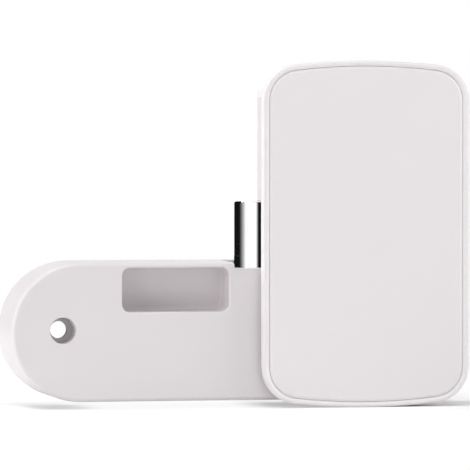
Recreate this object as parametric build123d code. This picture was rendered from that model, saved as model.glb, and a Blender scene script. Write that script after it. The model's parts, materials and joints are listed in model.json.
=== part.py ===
from build123d import *
import math
import os

# Electronic cabinet lock: a white housing whose arm reaches to the left of an upright body, a lift-off
# battery cover, and a round bolt that a small gear motor drives up and down beside the body.
# Millimetres. X points right, Y towards the surface that the lock is screwed to, Z up. The origin is on
# the rear mounting plane, at the body's centre. A height is a distance in front of that plane, so the
# lock's front faces -Y. Sketches are drawn in X and Z and raised from one height to another.

# Outer shape: a thin front lip that overhangs the block behind it on all sides
side_overhang = 4.2
top_overhang = 3.8
arm_above_bottom = 1.9
body_corner = 9.6
body_crown = 2.1
lip_thickness = 2.5
lip_round = 0.7
lip_back_round = 0.6
block_corner = 5.5
arm_reach = 90.35
arm_width = 35.1
arm_round = 1.0
wall = 2.0

# Battery cover and the seam around it
seam_inset = 1.8
seam_inset_ends = 1.35
seam_gap = 0.1
seam_groove_width = 0.6
seam_groove_depth = 0.28
cover_thickness = 1.4
cover_gap = 0.1
deck_thickness = 1.5
tab_width = 7.0
tab_thickness = 1.2
tab_length = 4.1
tab_gap = 0.3
tab_spread = 12.0

# Rear cover
rear_plate = 2.0
rear_edge = 1.0
rear_gap = 0.15

# Screws: a small self-tapping screw used everywhere
screw_radius = 1.0
screw_head_radius = 1.9
screw_head_height = 1.2
screw_length = 5.8
screw_fit = 0.02
screw_clearance = 0.15
screw_post_radius = 2.4
screw_slot_width = 0.6
screw_slot_depth = 0.6
screw_slot_length = 2.4
post_height = 10.0
post_sink = 0.6

# Screw hole at the arm's end, and the two under the cells
mount_hole_radius = 2.2
arm_hole_left_of_end = 4.55
arm_hole_above_middle = 0.5
arm_hole_head_radius = 3.3
arm_hole_head_depth = 6.7
arm_hole_floor = 2.0
arm_hole_pocket_radius = 5.0
arm_hole_boss_radius = 6.3
arm_hole_round = 0.25
tray_hole_head_radius = 4.0
tray_hole_head_depth = 2.8
tray_hole_boss_radius = 5.4
upper_hole_down = 6.1
lower_hole_up = 5.5

# Rectangular recess in the arm
recess_width = 27.5
recess_height = 11.1
recess_depth = 9.0
recess_lean = 3.6
recess_corner = 2.0
recess_beside_bolt = 6.95
recess_below_top = 1.4
recess_wall = 1.2
recess_round = 0.5
recess_floor_round = 0.7

# Bolt, its bush and the step in the arm's top that it rises from
bolt_radius = 3.75
bolt_exposed = 17.0
bolt_proud = 0.2
bolt_chamfer = 0.5
bolt_beside_block = 1.2
bolt_depth = 9.0
bolt_groove_depth = 0.3
bolt_groove_width = 0.8
bolt_groove_below_step = 0.1
step_depth = 1.7
step_gap = 0.85
step_left_room = 1.85
step_round = 0.8
step_floor = 2.0
bolt_hole_gap = 0.15
bush_wall = 0.95
bush_length = 5.0
bush_running_gap = 0.05
bush_cover = 1.0
bush_boss_wall = 1.6
spigot_radius = 2.5
spigot_length = 5.3
bolt_thread_depth = 4.6
press_gap = 0.01

# Carriage and rack
carriage_height = 7.7
carriage_gap = 0.6
carriage_floor = 1.0
rack_module = 0.6
rack_teeth = 11
rack_body = 1.95
rack_width = 3.8
rack_back_gap = 0.3
rack_wheel_gap = 0.6
rack_behind_bolt = 1.75
rack_overlap = 2.6
magnet_radius = 0.75
magnet_length = 1.4
magnet_below_top = 1.7

# Gear train: the pinion that drives the rack, the wheel beside it and the motor's pinion
pinion_teeth = 14
wheel_module = 0.5
wheel_teeth = 28
motor_pinion_teeth = 14
backlash = 0.1
pressure_angle = 20.0
addendum_share = 0.8
dedendum_share = 1.0
wheel_above_plate = 1.4
wheel_thickness = 3.0
pinion_extra = 0.2
hub_radius = 2.2
hub_gap = 0.35
axle_radius = 0.75
axle_running_gap = 0.05
axle_seat = 1.0
axle_front_seat = 2.5
axle_boss_radius = 2.3
axle_boss_gap = 0.3

# Gear motor: its gearbox fills what the can leaves between the wheel and the deck
motor_angle = 40.0
motor_radius = 5.0
motor_can_length = 7.8
motor_cap_length = 1.2
motor_wheel_gap = 0.6
gearbox_nose_radius = 3.4
gearbox_nose_length = 1.2
motor_front_gap = 0.6
shaft_radius = 1.0
shaft_running_gap = 0.05
shaft_seat = 3.8
shaft_end_gap = 0.9
motor_pinion_extra = 0.2
terminal_width = 1.6
terminal_thickness = 0.4
terminal_length = 1.4
terminal_spread = 4.4
cradle_wall = 1.2
cradle_height = 4.0
cradle_gap = 0.1
holder_ear_radius = 2.6
holder_body_radius = 5.6
holder_post_distance = 8.0
holder_gap = 0.2

# Cells, contacts and the tray
cell_radius = 5.25
cell_length = 44.5
cell_nub_radius = 1.9
cell_nub_height = 0.8
cell_edge = 0.4
cell_pitch = 10.7
cell_count = 3
cell_side_gap = 0.35
cell_floor_gap = 0.15
cell_cover_gap = 0.75
tray_above_gear = 4.4
tray_left_room = 3.9
tray_top_room = 2.5
tray_over_rack = 1.0
tray_floor = 1.5
tray_wall = 1.6
tray_corner = 0.8
tray_rib_width = 0.8
tray_rib_height = 1.6
tray_rib_up = 16.5
tray_rib_length = 18.0
plate_thickness = 0.4
plate_width = 8.4
plate_height = 8.4
spring_height = 4.8
spring_wire = 0.5
spring_mean_radius = 2.4
spring_turns = 4
spring_end_gap = 0.02

# Control board and what is on it
board_thickness = 1.0
board_below_tray_top = 0.7
board_rack_gap = 0.67
board_edge_gap = 0.4
board_hole_gap = 0.5
board_screw_inset = 3.0
board_screw_shift = 2.6
board_post_radius = 2.0
board_screw_length = 3.8
module_width = 14.0
module_height = 18.0
module_thickness = 2.2
module_from_left = 10.3
module_up = 17.6
module_corner = 0.8
buzzer_radius = 4.5
buzzer_thickness = 4.2
buzzer_port_radius = 0.8
buzzer_port_depth = 0.6
buzzer_from_right = 6.9
buzzer_up = 18.1
capacitor_radius = 3.15
capacitor_length = 5.4
capacitor_edge = 0.5
capacitor_from_right = 8.0
capacitor_up = 7.2
sensor_width = 1.6
sensor_height = 2.9
sensor_thickness = 1.1
sensor_from_edge = 1.4
sensor_up = 2.0
led_radius = 1.0
led_length = 3.4
led_base_radius = 1.3
led_base_thickness = 0.6
led_gap = 0.2
led_up = 27.6
switch_width = 3.2
switch_height = 1.9
switch_recess = 1.5
switch_gap = 0.3
button_up = 19.6
button_strip = 3.85
button_from_wall = 1.9
button_cap_radius = 1.25
button_gap = 0.15
button_proud = 0.8
button_stem_radius = 0.8
button_travel = 0.3
button_spare = 0.15
button_round = 0.3

# Motor leads, the same for both, apart from where they start
lead_radius = 0.5
lead_first_bend = 3.0
lead_second_bend = 3.0
lead_from_right = 5.8
lead_spacing = 1.6

overrun = 5.0

# Heights worked out from the sizes above, from the rear plate forwards
wheel_level = rear_plate + wheel_above_plate
wheel_front = wheel_level + wheel_thickness
rack_level = wheel_front + rack_wheel_gap
rack_front_level = rack_level + rack_width
bolt_height = rack_level + rack_behind_bolt + bolt_radius
arm_thickness = bolt_height + bolt_depth
arm_inner_front = arm_thickness - wall
tray_floor_back = rack_front_level + tray_over_rack
tray_floor_height = tray_floor_back + tray_floor
board_front = tray_floor_back - switch_gap - switch_height
board_level = board_front - board_thickness
lead_level = board_level + board_thickness / 2
cell_height = tray_floor_height + cell_floor_gap + cell_radius
body_front = cell_height + cell_radius + cell_cover_gap + cover_thickness
lip_back = body_front - lip_thickness
deck_front = body_front - cover_thickness - cover_gap
deck_back = deck_front - deck_thickness
nose_back = wheel_front + motor_wheel_gap
gearbox_back = nose_back + gearbox_nose_length
motor_front = deck_back - motor_front_gap
motor_cap_back = motor_front - motor_cap_length
gearbox_front = motor_cap_back - motor_can_length
hub_front = rack_front_level + pinion_extra + hub_gap
axle_boss_back = hub_front + axle_boss_gap
axle_front = axle_boss_back + axle_front_seat
axle_back = rear_plate - axle_seat

# Lengths along Z: the drive in the arm's height, the tray above it and the body round both
gear_below_arm_top = step_depth + bush_cover + bush_length + carriage_gap + carriage_height - rack_overlap
tray_above_arm_bottom = arm_width - gear_below_arm_top + tray_above_gear
tray_length = cell_length + spring_height + 2 * plate_thickness
block_height = tray_above_arm_bottom + tray_length + tray_wall + tray_top_room + wall
body_length = arm_above_bottom + block_height + top_overhang
arm_bottom = arm_above_bottom - body_length / 2
arm_top = arm_bottom + arm_width
block_top = arm_bottom + block_height
tray_bottom = arm_bottom + tray_above_arm_bottom
tray_top = tray_bottom + tray_length
tray_rib_bottom = tray_bottom + tray_rib_up
step_z = arm_top - step_depth
bolt_top = step_z + bolt_exposed
bolt_travel = bolt_exposed - bolt_proud
bush_top = step_z - bush_cover
bush_bottom = bush_top - bush_length
carriage_top = bush_bottom - carriage_gap
carriage_bottom = carriage_top - carriage_height
spigot_bottom = carriage_top - spigot_length
gear_z = carriage_bottom + rack_overlap

# Widths along X: the rack's room, the cells and the button's strip give the block its width
cells_width = 2 * cell_radius + (cell_count - 1) * cell_pitch
tray_width = cell_side_gap + cells_width + button_strip
block_width = wall + tray_left_room + tray_wall + tray_width + wall
body_width = block_width + 2 * side_overhang
block_side = block_width / 2
block_inner = block_side - wall
tray_left = block_inner - tray_width
first_cell_x = tray_left + cell_side_gap + cell_radius
bolt_x = -(bolt_radius + bolt_beside_block + block_side)
bush_bore = bolt_radius + bush_running_gap
bush_radius = bush_bore + bush_wall
rack_back = rack_back_gap - block_inner
rack_root = rack_back + rack_body
rack_pitch_x = rack_root + dedendum_share * rack_module
rack_tip_x = rack_pitch_x + addendum_share * rack_module

# Gears and motor, seen from the front
pinion_radius = rack_module * pinion_teeth / 2
wheel_radius = wheel_module * wheel_teeth / 2
motor_pinion_radius = wheel_module * motor_pinion_teeth / 2
gear_x = rack_pitch_x + pinion_radius
gear_centres = wheel_radius + motor_pinion_radius
motor_x = gear_x + gear_centres * math.cos(math.radians(motor_angle))
motor_z = gear_z - gear_centres * math.sin(math.radians(motor_angle))

# Holes and recess, seen from the front
arm_radius = arm_width / 2
arm_middle = arm_top - arm_radius
arm_end_x = arm_radius - arm_reach
arm_hole_x = arm_end_x - arm_hole_left_of_end
arm_hole_z = arm_middle + arm_hole_above_middle
recess_right = bolt_x - recess_beside_bolt
recess_x = recess_right - recess_width / 2
recess_z = arm_top - recess_below_top - recess_height / 2
mount_hole_x = first_cell_x + cell_pitch * (cell_count / 2)
upper_hole_z = tray_top - upper_hole_down
lower_hole_z = tray_bottom + lower_hole_up

# The board's edges and the places of what is on it
board_left = rack_tip_x + board_rack_gap
board_right = block_inner - board_edge_gap
board_bottom = lower_hole_z + tray_hole_boss_radius + board_hole_gap
board_top = tray_top - board_below_tray_top
module_x = board_left + module_from_left
module_z = board_bottom + module_up
buzzer_x = board_right - buzzer_from_right
buzzer_z = board_bottom + buzzer_up
capacitor_x = board_right - capacitor_from_right
capacitor_z = board_bottom + capacitor_up
sensor_z = board_bottom + sensor_up
button_x = block_inner - button_from_wall
button_z = board_bottom + button_up
led_z = board_bottom + led_up
lead_x = board_right - lead_from_right


def at_height(height):
    return Plane.XZ.offset(height)


def slab(sketch, low, high):
    return extrude(at_height(low) * sketch, high - low)


def post(x, z, radius, low, high):
    return slab(Pos(x, z) * Circle(radius), low, high)


def brick(left, right, bottom, top, low, high):
    place = Pos((left + right) / 2, (bottom + top) / 2)
    return slab(place * Rectangle(right - left, top - bottom), low, high)


def rod(x, height, bottom, top, radius):
    standing = (Align.CENTER, Align.CENTER, Align.MIN)
    return Pos(x, -height, bottom) * Cylinder(radius, top - bottom, align=standing)


def face_edges(solid, front):
    # Outer edges of the solid's foremost or rearmost flat face
    faces = solid.faces().filter_by(Axis.Y).sort_by(Axis.Y)
    face = faces[0] if front else faces[-1]
    return face.outer_wire().edges()


def crowned_outline(inset, end_inset):
    # The body's outline: straight sides, slightly arched ends and round corners
    side = body_width / 2 - inset
    end = body_length / 2 - end_inset
    shoulder = end - body_crown
    top = ThreePointArc((-side, shoulder), (0, end), (side, shoulder))
    bottom = ThreePointArc((side, -shoulder), (0, -end), (-side, -shoulder))
    outline = make_face(Curve() + [top, Line(top @ 1, bottom @ 0), bottom, Line(bottom @ 1, top @ 0)])
    return fillet(outline.vertices(), body_corner - inset)


def arm_outline(inset):
    radius = arm_radius - inset
    straight = Pos(arm_end_x / 2, arm_middle) * Rectangle(-arm_end_x, 2 * radius)
    return Pos(arm_end_x, arm_middle) * Circle(radius) + straight


def block_outline(inset):
    height = block_top - arm_bottom - 2 * inset
    middle = (block_top + arm_bottom) / 2
    return Pos(0, middle) * RectangleRounded(block_width - 2 * inset, height, block_corner - inset)


def base_outline(inset):
    return arm_outline(inset) + block_outline(inset)


def tray_outline(margin):
    width = block_inner - tray_left + 2 * margin
    height = tray_length + 2 * margin
    place = Pos((tray_left + block_inner) / 2, tray_bottom + tray_length / 2)
    return place * RectangleRounded(width, height, tray_corner + margin)


def rear_screw_places():
    # Close to the corners of the arm and the block, each post run into the wall beside it
    inset = wall + screw_post_radius - post_sink
    arm_left = arm_end_x + screw_post_radius
    arm_right = recess_right - screw_post_radius - recess_wall
    side = block_side - inset
    return [
        (arm_left, arm_bottom + inset),
        (arm_left, arm_top - inset),
        (arm_right, arm_bottom + inset),
        (side, arm_bottom + inset),
        (side, block_top - inset),
        (-side, block_top - inset),
    ]


def tab_places():
    # Locating tabs of the battery cover, above the tray and below it
    upper = (tray_top + tray_wall + block_top - wall) / 2
    lower = arm_bottom + wall + tab_gap + tab_thickness
    return [(side * tab_spread, z) for z in (upper, lower) for side in (-1, 1)]


def holder_post_places():
    # Square to the line from the wheel to the motor, one on each side of the motor
    across = math.radians(90.0 - motor_angle)
    dx = holder_post_distance * math.cos(across)
    dz = holder_post_distance * math.sin(across)
    return [(motor_x + dx, motor_z + dz), (motor_x - dx, motor_z - dz)]


def board_screw_places():
    left = board_left + board_screw_inset
    right = board_right - board_screw_inset
    return [
        (left + board_screw_shift, board_bottom + board_screw_inset),
        (left, board_top - board_screw_inset),
        (right, board_bottom + board_screw_inset),
    ]


def outer_lip():
    lip = slab(crowned_outline(0, 0), lip_back, body_front)
    lip -= slab(crowned_outline(seam_inset, seam_inset_ends), deck_front, body_front + overrun)
    front_face = lip.faces().filter_by(Axis.Y).sort_by(Axis.Y)[0]
    lip = fillet(front_face.outer_wire().edges(), lip_round)
    front_face = lip.faces().filter_by(Axis.Y).sort_by(Axis.Y)[0]
    inner_edges = front_face.inner_wires()[0].edges()
    lip = chamfer(inner_edges, seam_groove_width, seam_groove_depth, reference=front_face)
    return fillet(face_edges(lip, False), lip_back_round)


def outer_form():
    arm = slab(arm_outline(0), 0, arm_thickness)
    arm = fillet(face_edges(arm, True), arm_round)
    block = slab(block_outline(0), 0, lip_back)
    return arm + block + outer_lip()


def cavity():
    behind = slab(arm_outline(wall), rear_plate, arm_inner_front)
    inside = slab(block_outline(wall), rear_plate, deck_back)
    return behind + inside + slab(base_outline(rear_edge), -overrun, rear_plate)


def rounded_recess(margin):
    width = recess_width + 2 * margin
    height = recess_height + 2 * margin
    return Pos(recess_x, recess_z) * RectangleRounded(width, height, recess_corner + margin)


def leaning_recess(margin, floor, ceiling):
    # A block of the recess's outline; its back leans away from the front towards the foot
    block = slab(rounded_recess(margin), floor - recess_lean, ceiling)
    reach = recess_width + recess_height
    lean = math.degrees(math.atan2(recess_lean, recess_height))
    front = Pos(recess_x, -floor, recess_z) * Rot(lean, 0, 0) * Pos(0, -reach / 2, 0)
    return block & front * Box(reach, reach, reach)


def recess_hollow():
    hollow = leaning_recess(0, arm_thickness - recess_depth, arm_thickness + overrun)
    return fillet(hollow.faces().sort_by(Axis.Y)[-1].edges(), recess_floor_round)


def bolt_step():
    # The step in the arm's top that the bolt rises from, open at the front, with a round on its left edge
    radius = bolt_radius + step_gap
    left = bolt_x - bolt_radius - step_left_room
    ceiling = arm_top + overrun
    back = bolt_height - radius
    step = brick(left, -block_side, step_z, ceiling, back, lip_back)
    edge = brick(left - step_round, left, arm_top - step_round, ceiling, back, lip_back)
    return step + (edge - post(left - step_round, arm_top - step_round, step_round, back, lip_back))


def bolt_boss():
    radius = bush_radius + bush_boss_wall
    floor_bottom = step_z - step_floor
    boss = rod(bolt_x, bolt_height, bush_bottom, floor_bottom + step_floor, radius)
    left = bolt_x - bolt_radius - step_left_room - wall
    plate = brick(left, -block_inner, floor_bottom, arm_top - wall / 2, bolt_height - radius, arm_inner_front)
    return boss + plate


def cell_x(index):
    return first_cell_x + index * cell_pitch


def tray_box():
    box = slab(tray_outline(tray_wall), tray_floor_back, deck_back)
    return box & brick(tray_left - tray_wall, block_side - wall / 2, tray_bottom - tray_wall,
                       tray_top + tray_wall, tray_floor_back, deck_back)


def tray_ribs():
    ribs = []
    top = tray_rib_bottom + tray_rib_length
    for index in range(cell_count - 1):
        x = (cell_x(index) + cell_x(index + 1)) / 2
        left = x - tray_rib_width / 2
        right = x + tray_rib_width / 2
        low = tray_floor_height - tray_floor / 2
        high = tray_floor_height + tray_rib_height
        ribs.append(brick(left, right, tray_rib_bottom, top, low, high))
    return ribs


def axle_boss():
    ledge = tray_bottom - tray_wall / 2
    left = gear_x - axle_boss_radius
    right = gear_x + axle_boss_radius
    high = axle_front + tray_floor
    web = brick(left, right, gear_z, ledge, axle_boss_back, high)
    return web + post(gear_x, gear_z, axle_boss_radius, axle_boss_back, high)


def motor_seats():
    bore = motor_radius + cradle_gap
    ring = post(motor_x, motor_z, bore + cradle_wall, motor_front - cradle_height, deck_back)
    seats = ring - post(motor_x, motor_z, bore, motor_front - cradle_height - overrun, deck_back)
    window = terminal_spread / 2 + terminal_width
    seats -= brick(motor_x, motor_x + 2 * motor_radius, motor_z - window, motor_z + window,
                   motor_front - cradle_height, motor_front)
    for x, z in holder_post_places():
        seats += post(x, z, screw_post_radius, gearbox_back, deck_back)
    return seats - post(motor_x, motor_z, bore, gearbox_back, deck_back)


def arm_hole_boss():
    return post(arm_hole_x, arm_hole_z, arm_hole_boss_radius, 0, arm_thickness - wall / 2)


def arm_hole_cut():
    head_floor = arm_thickness - arm_hole_head_depth
    pocket_top = head_floor - arm_hole_floor
    head = post(arm_hole_x, arm_hole_z, arm_hole_head_radius, head_floor, arm_thickness + overrun)
    hole = post(arm_hole_x, arm_hole_z, mount_hole_radius, pocket_top, head_floor)
    pocket = post(arm_hole_x, arm_hole_z, arm_hole_pocket_radius, -overrun, pocket_top)
    return head + hole + pocket


def tray_hole_cut(z):
    head_floor = tray_floor_height - tray_hole_head_depth
    head = post(mount_hole_x, z, tray_hole_head_radius, head_floor, tray_floor_height + overrun)
    return head + post(mount_hole_x, z, mount_hole_radius, -overrun, head_floor)


def arm_mouths(housing):
    # The inner wires of the arm's front face, the screw hole's mouth first
    low = -arm_thickness - arm_hole_round
    high = -arm_thickness + arm_hole_round
    front = housing.faces().filter_by(Axis.Y).filter_by_position(Axis.Y, low, high)
    return front.sort_by(SortBy.AREA)[-1].inner_wires().sort_by(Axis.X)


def soften_front_edges(housing):
    # A small round on the mouths of the recess and the arm's screw hole
    housing = fillet(arm_mouths(housing)[-1].edges(), recess_round)
    return fillet(arm_mouths(housing)[0].edges(), arm_hole_round)


def main_housing():
    housing = outer_form() - cavity()
    housing += leaning_recess(recess_wall, arm_thickness - recess_depth - recess_wall, arm_thickness - wall / 2)
    housing += bolt_boss()
    housing -= recess_hollow()
    housing += arm_hole_boss()
    housing += tray_box()
    housing += axle_boss()
    housing += motor_seats()
    for z in (upper_hole_z, lower_hole_z):
        housing += post(mount_hole_x, z, tray_hole_boss_radius, 0, tray_floor_height)
    for x, z in rear_screw_places():
        housing += post(x, z, screw_post_radius, rear_plate, post_height)
    for x, z in board_screw_places():
        housing += post(x, z, board_post_radius, board_front, tray_floor_back)
    housing -= slab(tray_outline(0), tray_floor_height, deck_front + overrun)
    for rib in tray_ribs():
        housing += rib
    housing -= arm_hole_cut()
    housing -= bolt_step()
    housing -= rod(bolt_x, bolt_height, bush_top, step_z + step_depth, bolt_radius + bolt_hole_gap)
    housing -= rod(bolt_x, bolt_height, bush_bottom - overrun, bush_top, bush_radius + press_gap)
    for z in (upper_hole_z, lower_hole_z):
        housing -= tray_hole_cut(z)
    for x, z in rear_screw_places():
        housing -= post(x, z, screw_radius + screw_fit, rear_plate - overrun, post_height - screw_radius)
    for x, z in board_screw_places():
        housing -= post(x, z, screw_radius + screw_fit, board_front, board_level + board_screw_length + screw_fit)
    for x, z in holder_post_places():
        housing -= post(x, z, screw_radius + screw_fit, gearbox_back, nose_back + screw_length + screw_fit)
    for x, z in tab_places():
        half_width = tab_width / 2 + tab_gap
        half_thickness = tab_thickness / 2 + tab_gap
        housing -= brick(x - half_width, x + half_width, z - half_thickness, z + half_thickness,
                         deck_back - overrun, deck_front + overrun)
    housing -= post(gear_x, gear_z, axle_radius + press_gap, axle_boss_back, axle_front)
    housing -= post(button_x, button_z, button_cap_radius + button_gap, tray_floor_back, tray_floor_height)
    housing -= post(button_x, led_z, led_radius + led_gap, tray_floor_back, tray_floor_height)
    return soften_front_edges(housing)


def battery_cover():
    back = body_front - cover_thickness
    cover = slab(crowned_outline(seam_inset + seam_gap, seam_inset_ends + seam_gap), back, body_front)
    front_face = cover.faces().sort_by(Axis.Y)[0]
    cover = chamfer(front_face.edges(), seam_groove_width, seam_groove_depth, reference=front_face)
    for x, z in tab_places():
        half_width = tab_width / 2
        half_thickness = tab_thickness / 2
        cover += brick(x - half_width, x + half_width, z - half_thickness, z + half_thickness,
                       back - tab_length, back)
    return cover


def crossed_screw(x, z, seat, length):
    # A pan-head screw driven from the back; its head lies behind the seat height
    screw = post(x, z, screw_head_radius, seat - screw_head_height, seat)
    screw += post(x, z, screw_radius, seat, seat + length)
    half_width = screw_slot_width / 2
    half_length = screw_slot_length / 2
    back = seat - screw_head_height
    deep = back + screw_slot_depth
    screw -= brick(x - half_width, x + half_width, z - half_length, z + half_length, back - overrun, deep)
    screw -= brick(x - half_length, x + half_length, z - half_width, z + half_width, back - overrun, deep)
    return screw


def rear_cover():
    plate = slab(base_outline(rear_edge + rear_gap), 0, rear_plate)
    plate -= post(arm_hole_x, arm_hole_z, arm_hole_boss_radius + rear_gap, -overrun, rear_plate + overrun)
    for z in (upper_hole_z, lower_hole_z):
        plate -= post(mount_hole_x, z, tray_hole_boss_radius + rear_gap, -overrun, rear_plate + overrun)
    plate += post(gear_x, gear_z, hub_radius, rear_plate / 2, wheel_level - hub_gap - axle_running_gap)
    seat = screw_head_height + screw_clearance / 2
    for x, z in rear_screw_places():
        plate -= post(x, z, screw_head_radius + screw_clearance, -overrun, seat)
        plate -= post(x, z, screw_radius + screw_clearance, seat, rear_plate + overrun)
    plate -= post(gear_x, gear_z, axle_radius + press_gap, axle_back, wheel_level)
    return plate


def rear_cover_screws():
    seat = screw_head_height + screw_clearance / 2
    return [crossed_screw(x, z, seat, screw_length) for x, z in rear_screw_places()]


def locking_bolt():
    # A fine groove just inside the housing parts the clean working length from the guided one
    bolt = rod(bolt_x, bolt_height, carriage_top, bolt_top, bolt_radius)
    bolt = chamfer(bolt.edges().sort_by(Axis.Z)[-1], bolt_chamfer)
    groove_top = step_z - bolt_groove_below_step
    groove = rod(bolt_x, bolt_height, groove_top - bolt_groove_width, groove_top, bolt_radius + overrun)
    groove -= rod(bolt_x, bolt_height, carriage_top, bolt_top, bolt_radius - bolt_groove_depth)
    bolt -= groove
    bolt += rod(bolt_x, bolt_height, spigot_bottom, carriage_top, spigot_radius)
    thread = screw_radius + screw_fit
    return bolt - rod(bolt_x, bolt_height, spigot_bottom - overrun, spigot_bottom + bolt_thread_depth, thread)


def bolt_bushing():
    bush = rod(bolt_x, bolt_height, bush_bottom, bush_top, bush_radius)
    return bush - rod(bolt_x, bolt_height, bush_bottom - overrun, bush_top + overrun, bush_bore)


def rack_outline():
    # Straight-sided teeth with a space opposite the pinion's axis, on a bar down to the carriage's foot
    pitch = math.pi * rack_module
    slope = math.tan(math.radians(pressure_angle))
    addendum = addendum_share * rack_module
    dedendum = dedendum_share * rack_module
    half = pitch / 4 - backlash / 4
    tip = half - addendum * slope
    root = half + dedendum * slope
    points = [(rack_back, carriage_bottom), (rack_root, carriage_bottom)]
    for tooth in range(rack_teeth):
        z = gear_z + (tooth - 1) * pitch + pitch / 2
        points += [(rack_root, z - root), (rack_pitch_x + addendum, z - tip)]
        points += [(rack_pitch_x + addendum, z + tip), (rack_root, z + root)]
    top = points[-1][1] + (pitch / 2 - root)
    points += [(rack_root, top), (rack_back, top)]
    return make_face(Polyline(points, close=True)), top


def rack_top():
    return rack_outline()[1]


def bolt_carriage():
    half = bolt_radius
    carriage = brick(bolt_x - half, bolt_x + half, carriage_bottom, carriage_top,
                     bolt_height - half, bolt_height + half)
    carriage += brick(bolt_x, rack_root, carriage_bottom, carriage_top, bolt_height - half, rack_front_level)
    outline, top = rack_outline()
    carriage += slab(outline, rack_level, rack_front_level)
    carriage -= rod(bolt_x, bolt_height, spigot_bottom, carriage_top + overrun, spigot_radius + press_gap)
    carriage -= rod(bolt_x, bolt_height, carriage_bottom - overrun, spigot_bottom, screw_radius + screw_clearance)
    head_top = spigot_bottom - carriage_floor
    carriage -= rod(bolt_x, bolt_height, carriage_bottom - overrun, head_top, screw_head_radius + screw_clearance)
    x = (rack_back + rack_root) / 2
    z = top - magnet_below_top
    return carriage - post(x, z, magnet_radius + press_gap, rack_level - overrun, rack_level + magnet_length)


def carriage_screw():
    head_top = spigot_bottom - carriage_floor
    head = rod(bolt_x, bolt_height, head_top - screw_head_height, head_top, screw_head_radius)
    shank_top = spigot_bottom + bolt_thread_depth - screw_fit
    return head + rod(bolt_x, bolt_height, head_top, shank_top, screw_radius)


def carriage_magnet():
    x = (rack_back + rack_root) / 2
    z = rack_top() - magnet_below_top
    return post(x, z, magnet_radius, rack_level, rack_level + magnet_length)


def involute(angle):
    return math.tan(angle) - angle


def gear_outline(module, teeth, phase):
    # Spur gear with a tooth centred at the phase angle, flanks as arcs through the involute
    pitch_radius = module * teeth / 2
    base_radius = pitch_radius * math.cos(math.radians(pressure_angle))
    tip_radius = pitch_radius + addendum_share * module
    root_radius = pitch_radius - dedendum_share * module
    half_at_pitch = math.pi / (2 * teeth) - backlash / (4 * pitch_radius)
    start_radius = max(base_radius, root_radius)
    middle_radius = (start_radius + tip_radius) / 2

    def half_angle(radius):
        turned = involute(math.acos(min(1, base_radius / radius)))
        return half_at_pitch + involute(math.radians(pressure_angle)) - turned

    def spot(radius, angle):
        return (radius * math.cos(angle), radius * math.sin(angle))

    edges = []
    step = 2 * math.pi / teeth
    for tooth in range(teeth):
        centre = phase + tooth * step
        rising = [spot(r, centre - half_angle(r)) for r in (start_radius, middle_radius, tip_radius)]
        falling = [spot(r, centre + half_angle(r)) for r in (tip_radius, middle_radius, start_radius)]
        foot = spot(root_radius, centre - half_angle(start_radius))
        heel = spot(root_radius, centre + half_angle(start_radius))
        next_foot = spot(root_radius, centre + step - half_angle(start_radius))
        if base_radius > root_radius:
            edges += [Line(foot, rising[0]), Line(falling[2], heel)]
        edges += [ThreePointArc(*rising), Line(rising[2], falling[0]), ThreePointArc(*falling)]
        edges.append(Line(heel, next_foot))
    return make_face(Curve() + edges)


def compound_gear():
    toward_motor = math.radians(-motor_angle)
    wheel = Pos(gear_x, gear_z) * gear_outline(wheel_module, wheel_teeth, toward_motor)
    pinion = Pos(gear_x, gear_z) * gear_outline(rack_module, pinion_teeth, math.pi)
    gear = slab(wheel, wheel_level, wheel_front)
    gear += slab(pinion, wheel_front, rack_front_level + pinion_extra)
    gear += post(gear_x, gear_z, hub_radius, wheel_level - hub_gap + axle_running_gap, hub_front)
    return gear - post(gear_x, gear_z, axle_radius + axle_running_gap, 0, axle_front)


def gear_axle():
    return post(gear_x, gear_z, axle_radius, axle_back, axle_front)


def motor_pinion():
    # A space faces the wheel, so half a tooth is added to the direction of the wheel
    toward_wheel = math.radians(180.0 - motor_angle)
    phase = toward_wheel + math.pi / motor_pinion_teeth
    outline = Pos(motor_x, motor_z) * gear_outline(wheel_module, motor_pinion_teeth, phase)
    pinion = slab(outline, wheel_level - motor_pinion_extra, wheel_front + motor_pinion_extra)
    return pinion - post(motor_x, motor_z, shaft_radius + press_gap, 0, gearbox_back)


def motor_shaft():
    return post(motor_x, motor_z, shaft_radius, rear_plate + shaft_end_gap, gearbox_back + shaft_seat)


def motor_gearbox():
    box = post(motor_x, motor_z, motor_radius, gearbox_back, gearbox_front)
    box += post(motor_x, motor_z, gearbox_nose_radius, nose_back, gearbox_back)
    seat = gearbox_back + shaft_seat + shaft_running_gap
    return box - post(motor_x, motor_z, shaft_radius + shaft_running_gap, nose_back - overrun, seat)


def motor_can():
    return post(motor_x, motor_z, motor_radius, gearbox_front, motor_cap_back)


def terminal_z(side):
    return motor_z + side * terminal_spread / 2


def motor_end_cap():
    cap = post(motor_x, motor_z, motor_radius, motor_cap_back, motor_front)
    right = motor_x + motor_radius + terminal_length
    low = motor_cap_back + terminal_thickness
    for side in (-1, 1):
        z = terminal_z(side)
        half = terminal_width / 2
        cap += brick(motor_x, right, z - half, z + half, low, low + terminal_thickness)
    return cap


def motor_holder():
    outline = Pos(motor_x, motor_z) * Circle(holder_body_radius)
    for x, z in holder_post_places():
        outline += Pos(x, z) * Circle(holder_ear_radius)
        along = Pos((x + motor_x) / 2, (z + motor_z) / 2) * Rot(0, 0, 90.0 - motor_angle)
        outline += along * Rectangle(holder_post_distance, 2 * holder_ear_radius)
    outline -= Pos(motor_x, motor_z) * Circle(gearbox_nose_radius + holder_gap)
    for x, z in holder_post_places():
        outline -= Pos(x, z) * Circle(screw_radius + screw_clearance)
    return slab(outline, nose_back, gearbox_back)


def holder_screws():
    length = screw_length
    return [crossed_screw(x, z, nose_back, length) for x, z in holder_post_places()]


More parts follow.
